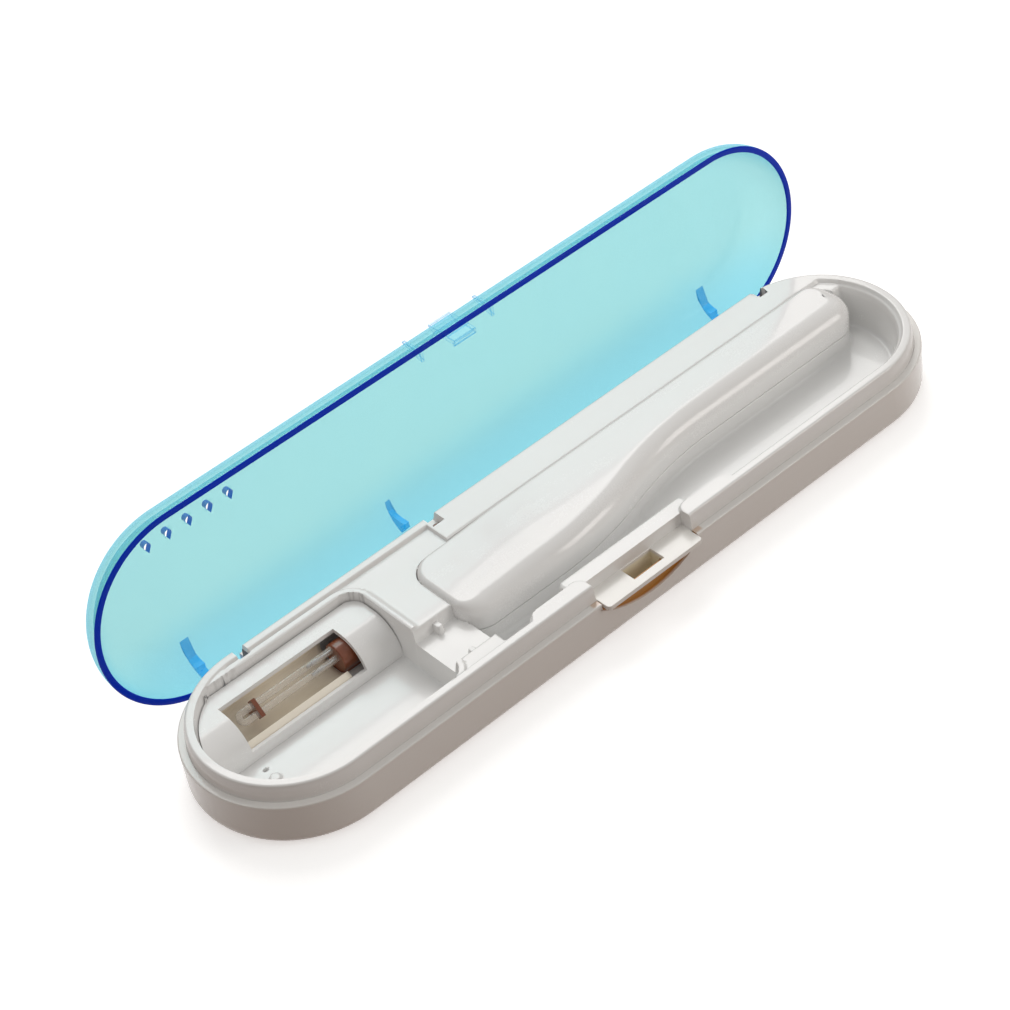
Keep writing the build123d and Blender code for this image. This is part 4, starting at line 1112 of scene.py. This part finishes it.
def tube_along(path, radius, around=28):
    """Carry a circle along a path. Each circle stands square to the path's direction there."""
    ahead = np.gradient(path, axis=0)
    ahead /= np.linalg.norm(ahead, axis=1)[:, None]
    side = np.array((0.0, -math.sin(lamp_tilt), math.cos(lamp_tilt)))
    first = np.cross(ahead, side)
    angle = np.linspace(0, 2 * math.pi, around, endpoint=False)
    ring = np.cos(angle)[:, None, None] * first[None] + np.sin(angle)[:, None, None] * side
    return (path[None] + radius * ring).transpose(1, 0, 2)


def lamp_path():
    """Middle line of the lamp: the low leg out, a half turn, and the high leg back."""
    across = np.array((0.0, math.cos(lamp_tilt), math.sin(lamp_tilt)))
    centre = np.array((bend_x, reflector_y, lamp_z))
    half_turn = np.linspace(-math.pi / 2, math.pi / 2, 25)
    bend = centre + leg_offset * (
        np.sin(half_turn)[:, None] * across - np.cos(half_turn)[:, None] * np.array((1.0, 0, 0))
    )
    run = np.linspace(lamp_high[0], bend_x, 30)[:-1]
    low = np.column_stack([run, 0 * run, 0 * run]) + (centre - leg_offset * across) * (0, 1, 1)
    high = low[::-1] + 2 * leg_offset * across
    return np.vstack([low, bend, high])


lamp_points = tube_along(lamp_path(), lamp_radius)
make_piece(
    "lamp_glass", *join_grids((lamp_points, True)), glass_finish, "base",
    outward=True, stands_for=["lamp_tube"], slot="lamp_glass",
)
soft_copy("lamp_socket", "lamp_socket_moulding", 0.5, brown_finish, "base", "brown_plastic")

# %% [markdown]
# ## Lamp electrodes
#
# Inside each leg, at the socket, a lamp like this has a small metal electrode on its wire.
# They are short rods with a rounded tip, seen through the glass.

# %% Make the electrodes
def turned_rod(start, direction, section):
    """Turn a section of (distance along, radius) pairs about a line."""
    along, radius = np.array(section).T
    direction = np.array(direction, float)
    first = np.cross(direction, (0.0, 0.0, 1.0))
    first /= np.linalg.norm(first)
    second = np.cross(direction, first)
    angle = np.linspace(0, 2 * math.pi, 20, endpoint=False)
    ring = np.cos(angle)[:, None] * first + np.sin(angle)[:, None] * second
    return np.array(start) + along[:, None, None] * direction + radius[:, None, None] * ring[None]


steel = Finish("bright steel", metallic=1.0)
steel_lines = steel.noise(0.5, detail=3, stretch=(1, 1, 0.1))
steel.set("Base Color", steel.blend(steel_lines, (0.42, 0.42, 0.43), (0.68, 0.68, 0.7)))
steel.set("Roughness", 0.22 + 0.15 * steel_lines)
steel_finish = steel.material

electrode_inset = 0.2
electrode_section = [(0, 0.0), (0, 0.25), (3.5, 0.25), (3.6, 0.45), (6.6, 0.45), (6.9, 0.3), (6.95, 0.0)]
rods = []
for side in (-1, 1):
    start = (
        lamp_high[0] - electrode_inset,
        reflector_y + side * leg_offset * math.cos(lamp_tilt),
        lamp_z + side * leg_offset * math.sin(lamp_tilt),
    )
    rods.append((turned_rod(start, (-1, 0, 0), electrode_section), True))
make_piece("lamp_electrodes", *join_grids(*rods), steel_finish, "base", outward=True, slot="steel")

# %% [markdown]
# ## Clear aqua plastic
#
# The lid is clear plastic tinted aqua. Its rim and other cut edges are deep blue and glow,
# and the glow is painted light: an emission that stands for the light a clear sheet carries
# to its cut edges. The sheet mixes a tinted clear shader with a glossy one, more of it where
# the sheet is seen edge on, and its colour deepens near the hinge. It also glows faintly
# with painted light, in a deeper blue near the hinge.

# %% Finishes of the lid
def clear_aqua():
    """Clear aqua sheet: it tints what lies behind it, more near the hinge and seen edge on, and it glows
    faintly with painted light, deeper blue near the hinge.
    """
    finish = Finish("clear aqua", roughness=0.06, specular_ior_level=0.4, emission_strength=0.2)
    height = finish.axis("z")
    near_hinge = 1 - height.between(4 * MM, 21 * MM)
    cloud = finish.noise(18, detail=2)
    facing = finish.edge_on()
    grazing = facing.between(0.25, 0.95)
    pale = finish.blend(cloud, (0.65, 0.875, 0.885), (0.635, 0.865, 0.89))
    hinge_side = finish.blend(near_hinge, pale, (0.54, 0.82, 0.885))
    tint = finish.blend(grazing, hinge_side, (0.42, 0.76, 0.88))
    finish.set("Base Color", finish.blend(grazing, (0.34, 0.82, 0.86), (0.16, 0.6, 0.82)))
    # Painted light: a faint glow in aqua, deeper blue near the hinge.
    finish.set("Emission Color", finish.blend(near_hinge, (0.3, 0.8, 0.82), (0.14, 0.66, 0.85)))
    finish.see_through(0.12 + 0.3 * facing, tint)
    return finish.material


def glowing_edge(name, colour, second, alpha=1.0):
    """A cut edge of clear plastic with a painted glow: an emission stands for the light that runs inside
    the sheet and comes out there.
    """
    # Painted light: the edge glows in its own colour.
    finish = Finish(name, roughness=0.2, specular_ior_level=0.1, emission_strength=0.5)
    drift = finish.noise(12)
    shade = finish.blend(drift, colour, second)
    finish.set("Base Color", shade)
    finish.set("Emission Color", shade)
    finish.set("Alpha", alpha + 0.05 * (drift - 0.5))
    return finish.material


aqua_finish = clear_aqua()
# The rim, the webs, the hook and the vent edges all glow with painted light.
rim_finish = glowing_edge("lid rim", (0.0, 0.012, 0.26), (0.0, 0.024, 0.36))
web_finish = glowing_edge("lid webs", (0.0, 0.32, 0.7), (0.02, 0.42, 0.8), alpha=0.58)
web_edge_finish = glowing_edge("lid web edges", (0.0, 0.07, 0.36), (0.0, 0.1, 0.44), alpha=0.9)
hook_finish = glowing_edge("lid hook", (0.2, 0.62, 0.84), (0.28, 0.7, 0.9), alpha=0.16)
hook_edge_finish = glowing_edge("lid hook edges", (0.04, 0.36, 0.66), (0.08, 0.44, 0.74), alpha=0.5)
vent_finish = glowing_edge("lid vents", (0.0, 0.08, 0.42), (0.0, 0.12, 0.5), alpha=0.95)

# %% [markdown]
# ## The lid
#
# The lid is worked out closed, as it would lie on the case, and then every point is turned
# about the hinge to where the photograph shows it. Its section starts at the middle of the
# inner roof, runs out and down the inner wall, round the rim and back up outside to the
# middle of the outer roof, so one grid makes the whole closed shell.

# %% Make the lid's shell
lid_rim_z = ledge_height + 0.3
lid_depth = 10.2
lid_wall = 1.6
lid_round = 9.5
lid_rim_round = 0.35
lid_open = math.radians(93.0)
lid_top = lid_rim_z + lid_depth
lid_roof = lid_top - lid_wall


def turn_open(points):
    """Turn points of the closed lid about the hinge to the open place."""
    y, z = points[..., 1] - hinge_y, points[..., 2] - hinge_z
    turned_y = hinge_y + y * math.cos(lid_open) + z * math.sin(lid_open)
    turned_z = hinge_z - y * math.sin(lid_open) + z * math.cos(lid_open)
    return np.stack([points[..., 0], turned_y, turned_z], axis=-1)


def lid_section():
    """Insets and heights of the lid's section, and where its rim starts and ends."""
    inner_round = lid_round - lid_wall
    roof_insets = np.linspace(case_radius, lid_round, 16)[:-1]
    run, rise = quarter(inner_round, 14)
    inner = np.column_stack([lid_wall + run[::-1], lid_roof - inner_round + rise[::-1]])
    rim_run, rim_rise = quarter(lid_rim_round, 4)
    rim_top = lid_rim_z + lid_rim_round
    wall_z = np.linspace(lid_top - lid_round, rim_top, 4)[1:-1]
    inner_wall = np.column_stack([np.full_like(wall_z, lid_wall), wall_z])
    inner_rim = np.column_stack([lid_wall - rim_run, rim_top - rim_rise])
    outer_rim = np.column_stack([rim_run[::-1], rim_top - rim_rise[::-1]])
    run, rise = quarter(lid_round, 16)
    outer = np.column_stack([run, lid_top - lid_round + rise])
    roof = np.column_stack([roof_insets, np.full_like(roof_insets, lid_roof)])
    outer_roof = np.column_stack([roof_insets[::-1], np.full_like(roof_insets, lid_top)])
    outer_wall = inner_wall[::-1] * (0, 1)
    pieces = [roof, inner, inner_wall, inner_rim, outer_rim, outer_wall, outer, outer_roof]
    rim_start = len(roof) + len(inner) + len(inner_wall)
    rim_end = rim_start + len(inner_rim) + len(outer_rim)
    return np.vstack(pieces), rim_start, rim_end


section, rim_start, rim_end = lid_section()
lid_x = spaced(-straight_half, straight_half, 1.4)
middles, directions = case_walk(lid_x, 90)
closed_lid = carry_round(middles, directions, section[:, 0], section[:, 1])
lid_faces = grid_quads(*closed_lid.shape[:2], closed=True)
face_row = np.repeat(np.arange(len(section) - 1), closed_lid.shape[1])
on_rim = (face_row >= rim_start) & (face_row < rim_end - 1)
lid = make_piece(
    "clear_lid_shell", turn_open(closed_lid), lid_faces, [aqua_finish, rim_finish], "lid_body",
    zones=on_rim, stands_for=["lid"], slot="aqua_plastic", sharp=60,
)

# %% [markdown]
# ## Vents
#
# Five small drop-shaped holes let the case breathe. Each is cut through the roof with a
# prism of its own outline, whose finish the cut then keeps, so its edge is deep blue. The
# finished lid throws no shadow and stays out of bounced light, since a thin clear sheet
# hardly dims what stands before it.

# %% Cut the vents
vent_radius = 0.9
vent_tail = 1.9
vent_pitch = 5.7
vent_count = 5
first_vent_x = case_left + 23.0
vent_y = case_front + 12.3


def drop_outline(x, y):
    """A drop: a round end and two straight sides that meet in a point."""
    touch = math.asin(vent_radius / vent_tail)
    angle = np.linspace(math.pi - touch, 2 * math.pi + touch, 19)
    arc = np.column_stack([x + vent_radius * np.cos(angle), y + vent_radius * np.sin(angle)])
    return np.vstack([arc, [(x, y + vent_tail)]])


def cut_vents(piece):
    """Cut every vent through a piece, and keep the cutters out of the scene."""
    points, faces = [], []
    for i in range(vent_count):
        drop = drop_outline(first_vent_x + i * vent_pitch, vent_y)
        faces += [turned_over(face) for face in prism_faces(len(points), len(drop))]
        points += [(x, y, z) for z in (lid_roof - 1, lid_top + 1) for x, y in drop]
    mesh = bpy.data.meshes.new("vent cutter")
    mesh.from_pydata((turn_open(np.array(points)) * MM).tolist(), [], faces)
    mesh.materials.append(vent_finish)
    cutter = add_object("vent_cutter", mesh)
    cut = piece.modifiers.new("vents", "BOOLEAN")
    cut.object = cutter
    cut.solver = "EXACT"
    cut.material_mode = "TRANSFER"
    view = bpy.context.evaluated_depsgraph_get()
    carved = bpy.data.meshes.new_from_object(piece.evaluated_get(view), depsgraph=view)
    piece.modifiers.remove(cut)
    piece.data = carved
    bpy.data.objects.remove(cutter)
    print(f"vents cut: {len(carved.polygons)} faces")


cut_vents(lid)
lid.visible_shadow = False
lid.visible_diffuse = False

# %% [markdown]
# ## Hinge arms, finger and hook
#
# Three curved webs stand inside the lid at the hinge side. The middle one carries the finger
# that presses the switch, and beside the outer two an arm with an eye holds each hinge pin.
# In the middle of the front wall a hook and two small ribs reach down to the latch. They are
# flat plates, so an outline and a width make each, and a small bevel takes the edge off.

# %% Outlines of the webs
fin_reach = 6.4
fin_offset = 4.0
arm_width = 2.4
plate_overlap = 0.15


def inner_wall_arc(low_z, steps=14):
    """The lid's inner face at the hinge side: the round corner from a height up to the roof."""
    reach = lid_round - lid_wall + plate_overlap
    centre_z = lid_top - lid_round
    angle = np.linspace(math.asin((low_z - centre_z) / reach), math.pi / 2, steps)
    y, z = case_radius - lid_round + reach * np.cos(angle), centre_z + reach * np.sin(angle)
    return list(zip(y, z))


def wall_y_at(z):
    """How far back the lid's inner face stands at a height: its round corner, solved for y."""
    up = z - lid_top + lid_round
    return case_radius - lid_round + math.sqrt((lid_round - lid_wall) ** 2 - up**2)


def free_edge(bottom_y, bottom_z, steps=14):
    """The web's hollow edge: a bow from the roof down to the foot."""
    tip_y = case_radius - lid_wall - fin_reach
    share = np.linspace(0, 1, steps)
    y = tip_y + (bottom_y - tip_y) * np.sin(share * math.pi / 2) ** 0.8
    z = lid_roof + 0.1 - (lid_roof + 0.1 - bottom_z) * (1 - np.cos(share * math.pi / 2)) ** 0.85
    return list(zip(y, z))


def opened(outline):
    """An outline of (y, z) points turned open with the lid."""
    points = np.array([(0.0, y, z) for y, z in outline])
    return [tuple(p) for p in turn_open(points)[:, 1:]]


arm_inner_y = hinge_y - 1.5
arm_outer_y = hinge_y + 1.6
arm_top_z = hinge_z + 1.6
web_foot = lip_top + 0.4
tail_foot = lid_rim_z + 1.0
tail_reach = 0.08
wall_face = case_radius - lid_wall
finger_tip = 14.9
finger_depth_half, finger_width_half = 0.8, 0.7
web_outlines = []
for hinge_x in hinge_places:
    fin = [*inner_wall_arc(tail_foot), *free_edge(arm_inner_y, web_foot)]
    fin += [(wall_y_at(z) - tail_reach, z) for z in np.linspace(web_foot, tail_foot, 9)]
    fin_low = hinge_x - fin_offset - arm_width / 2
    web_outlines.append((opened(fin), fin_low, fin_low + arm_width))
    arm = [
        (arm_inner_y, arm_top_z), (arm_outer_y, arm_top_z), (arm_outer_y - 0.1, lid_rim_z + 0.6),
        (wall_face + plate_overlap, lid_rim_z + 2.8), (wall_face - 0.4, lid_rim_z + 2.6),
        (arm_inner_y, lid_rim_z),
    ]
    web_outlines.append((opened(arm), hinge_x - arm_width / 2, hinge_x + arm_width / 2))
finger_front, finger_back = switch_y - finger_depth_half, switch_y + finger_depth_half
finger = [
    *inner_wall_arc(web_foot), *free_edge(finger_front, web_foot),
    (finger_front, finger_tip), (finger_back, finger_tip), (finger_back, web_foot),
]
web_outlines.append((opened(finger), switch_x - finger_width_half, switch_x + finger_width_half))
print(f"{len(web_outlines)} outlines for the webs")

# %% Make the webs, the eyes and the hook
webs = make_plate("lid_webs", web_outlines, web_finish, "lid_body", slot="aqua_plastic", sharp=30)
soften(webs, 0.4, segments=2, finish=web_edge_finish)

eye_section = [
    (-1.2, 1.05), (-1.2, 2.1), (-1.0, 2.3), (1.0, 2.3), (1.2, 2.1), (1.2, 1.05), (-1.2, 1.05),
]
for side, hinge_x in zip(("left", "right"), hinge_places):
    eye = turned_rod((hinge_x, hinge_y, hinge_z), (1, 0, 0), eye_section)
    make_piece(
        f"lid_eye_{side}", *join_grids((eye, True)), web_finish, "lid_body",
        outward=True, slot="aqua_plastic",
    )

wall_y = case_front + lid_wall - plate_overlap
hook_half = 3.3
rib_half = 0.5
rib_offset = 10.7
hook_shape = [
    (0, 0.4), (0, 7.0), (0.6, 7.0), (1.75, 5.4), (1.75, -1.4), (2.45, -1.5), (2.4, -1.9),
    (1.9, -2.4), (0.5, -2.4), (0.4, 0),
]
rib_shape = [(0, 0.5), (0, 7.0), (0.4, 7.0), (3.1, 0.5)]


def on_front_wall(shape, middle, half):
    """A plate on the lid's front wall. Its y is counted from the wall, its z from the rim."""
    outline = opened([(wall_y + y, lid_rim_z + z) for y, z in shape])
    return outline, middle - half, middle + half


hook_outlines = [on_front_wall(hook_shape, latch_x, hook_half)]
hook_outlines += [
    on_front_wall(rib_shape, latch_x + side * rib_offset, rib_half) for side in (-1, 1)
]
hook = make_plate("lid_hook", hook_outlines, hook_finish, "lid_body", slot="aqua_plastic", sharp=30)
soften(hook, 0.25, segments=2, finish=hook_edge_finish)

# %% [markdown]
# ## The latch button
#
# A block with a pocket for the lid's hook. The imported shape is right, so a copy gets
# rounded edges, which is what the eye reads as moulded.

# %% Make the button
soft_copy("latch_button", "latch_button_moulding", 0.3, white_button, "latch_body", "white_plastic")

# %% [markdown]
# ## Small parts inside
#
# The switch, the board, the cells and the wiring show through the window, through the slots
# and when the battery cover is lifted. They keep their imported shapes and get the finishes
# that such parts have: green lacquer with copper tracks, wound wire, printed sleeves.

# %% Finishes of the small parts
def board_lacquer():
    """Green lacquer over faint copper tracks on a millimetre grid."""
    finish = Finish("board lacquer", roughness=0.35, coat_weight=0.4)
    values = {"Vector": finish.place(), "Scale": 180.0, "Mortar Size": 0.012}
    grid = finish.node("TexBrick", {"offset": 0.5}, values, "Fac")
    finish.set("Base Color", finish.blend(grid, (0.02, 0.16, 0.06), (0.08, 0.26, 0.09)))
    finish.bump(grid, 0.05, 0.3)
    return finish.material


def wound_wire():
    """Copper wire in close turns."""
    finish = Finish("wound wire", metallic=0.85, roughness=0.3)
    values = {"Vector": finish.place(), "Scale": 700.0, "Distortion": 0.4}
    turns = finish.node("TexWave", {"bands_direction": "Z"}, values, "Fac")
    finish.set("Base Color", finish.blend(turns, (0.3, 0.1, 0.03), (0.75, 0.36, 0.16)))
    finish.bump(turns, 0.15, 0.8)
    return finish.material


def printed_sleeve(name, body, band, from_x, to_x):
    """A smooth sleeve with one plain band round its end."""
    finish = Finish(name, metallic=0.3, coat_weight=0.5)
    x = finish.axis("x")
    in_band = x.above(from_x * MM) * (1 - x.above(to_x * MM))
    finish.set("Base Color", finish.blend(in_band, body, band))
    finish.set("Roughness", 0.25 + 0.1 * finish.noise(1.5))
    return finish.material


def soft_lead(name, colour, second):
    """Soft rubbery sleeve of a lead."""
    finish = Finish(name)
    skin = finish.noise(0.8)
    finish.set("Base Color", finish.blend(skin, colour, second))
    finish.set("Roughness", 0.45 + 0.15 * skin)
    return finish.material


cell_band = 14
for side in ("left", "right"):
    cell_right_x = node_box(f"cell_{side}")[1][0]
    dress(f"cell_{side}", printed_sleeve(
        f"cell sleeve {side}", (0.03, 0.035, 0.05), (0.62, 0.4, 0.1),
        cell_right_x - cell_band, cell_right_x,
    ))
can_left_x = node_box("capacitor")[0][0]
finishes = {
    "circuit_board": board_lacquer(),
    "transformer_winding": wound_wire(),
    "transformer_core": dark_moulding("ferrite", (0.03, 0.03, 0.032), (0.07, 0.07, 0.07), 0.55),
    "capacitor": printed_sleeve(
        "capacitor sleeve", (0.02, 0.04, 0.14), (0.6, 0.62, 0.66), can_left_x, can_left_x + 1
    ),
    "transistor": black_finish,
    "switch_body": black_finish,
    "switch_plunger": brown_finish,
    "lamp_clip": brown_finish,
    "lamp_leads": soft_lead("white lead", (0.7, 0.69, 0.66), (0.8, 0.79, 0.76)),
    "battery_lead_short": soft_lead("black lead", (0.01, 0.01, 0.01), (0.03, 0.03, 0.03)),
    "battery_lead_long": soft_lead("red lead", (0.45, 0.02, 0.015), (0.6, 0.04, 0.03)),
}
for node in (
    "hinge_pin_left", "hinge_pin_right", "latch_springs", "contact_spring", "contact_plate_left",
    "contact_plate_right", "switch_spring", "case_screws", "board_screws",
):
    finishes[node] = steel_finish
for node, finish in finishes.items():
    dress(node, finish)
print(f"{len(finishes) + 2} small parts dressed")

# %% [markdown]
# ## Floor and light
#
# The case stands on a plain white sheet. A wide soft light behind it on the right brightens
# the tops and shines in their gloss, and two weak ones lift the near and the far end. The room
# is white above and warm and dim below, so the front falls into a warm shade. The sheet keeps
# its own light to itself, or it would wash that shade out.

# %% Floor
floor_half = 6
floor_finish = Finish("white sheet", roughness=0.9, base_color=(0.9, 0.9, 0.9), emission_strength=0.5)
floor_finish.set("Emission Color", (1.0, 1.0, 1.0))
floor_mesh = bpy.data.meshes.new("floor")
floor_corners = [(x * floor_half, y * floor_half, 0) for x, y in ((-1, -1), (1, -1), (1, 1), (-1, 1))]
floor_mesh.from_pydata(floor_corners, [], [(0, 1, 2, 3)])
floor_mesh.materials.append(floor_finish.material)
floor = add_object("floor", floor_mesh)
floor.visible_diffuse = False
floor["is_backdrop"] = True


# %% Lights
def soft_light(name, place, size, power, colour):
    """A square soft light that faces the middle of the case."""
    data = bpy.data.lights.new(name, "AREA")
    data.shape = "SQUARE"
    data.size = size
    data.energy = power
    data.color = colour
    light = add_object(name, data)
    light.location = place
    light.rotation_mode = "QUATERNION"
    light.rotation_quaternion = light.location.to_track_quat("Z", "Y")
    print(f"{name}: {power} W")


soft_light("key light", (0.5, 0.84, 1.08), 0.8, 7.6, (1.0, 0.995, 0.985))
soft_light("left light", (-0.9, 0.35, 0.6), 0.3, 0.35, (1.0, 0.99, 0.97))
soft_light("right light", (0.4, -0.5, 0.22), 0.25, 0.9, (1.0, 0.97, 0.93))

# %% Room
room = bpy.data.worlds.new("soft room")
bpy.context.scene.world = room
room.use_nodes = True
room_shader = Shader(room.node_tree)
direction = room_shader.node("TexCoord", output="Generated")
upward = room_shader.node("SeparateXYZ", values={0: direction}, output="Z")
shade = room_shader.blend(upward.between(-0.1, 0.9), (0.12, 0.06, 0.03), (0.52, 0.52, 0.51))
room_shader.feed(room.node_tree.nodes["Background"].inputs["Color"], shade)
bpy.context.scene.view_settings.view_transform = "Standard"

# %% [markdown]
# ## Both boxes
#
# The dressed case has to stay inside the imported one's box.

# %% Finish
seen_low, seen_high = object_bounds()
sizes = {
    "cad": [list(packed_low), list(packed_high)],
    "visual": [list(seen_low), list(seen_high)],
}
for label, box in sizes.items():
    print(f"{label} box", [round(v / MM, 1) for corner in box for v in corner])
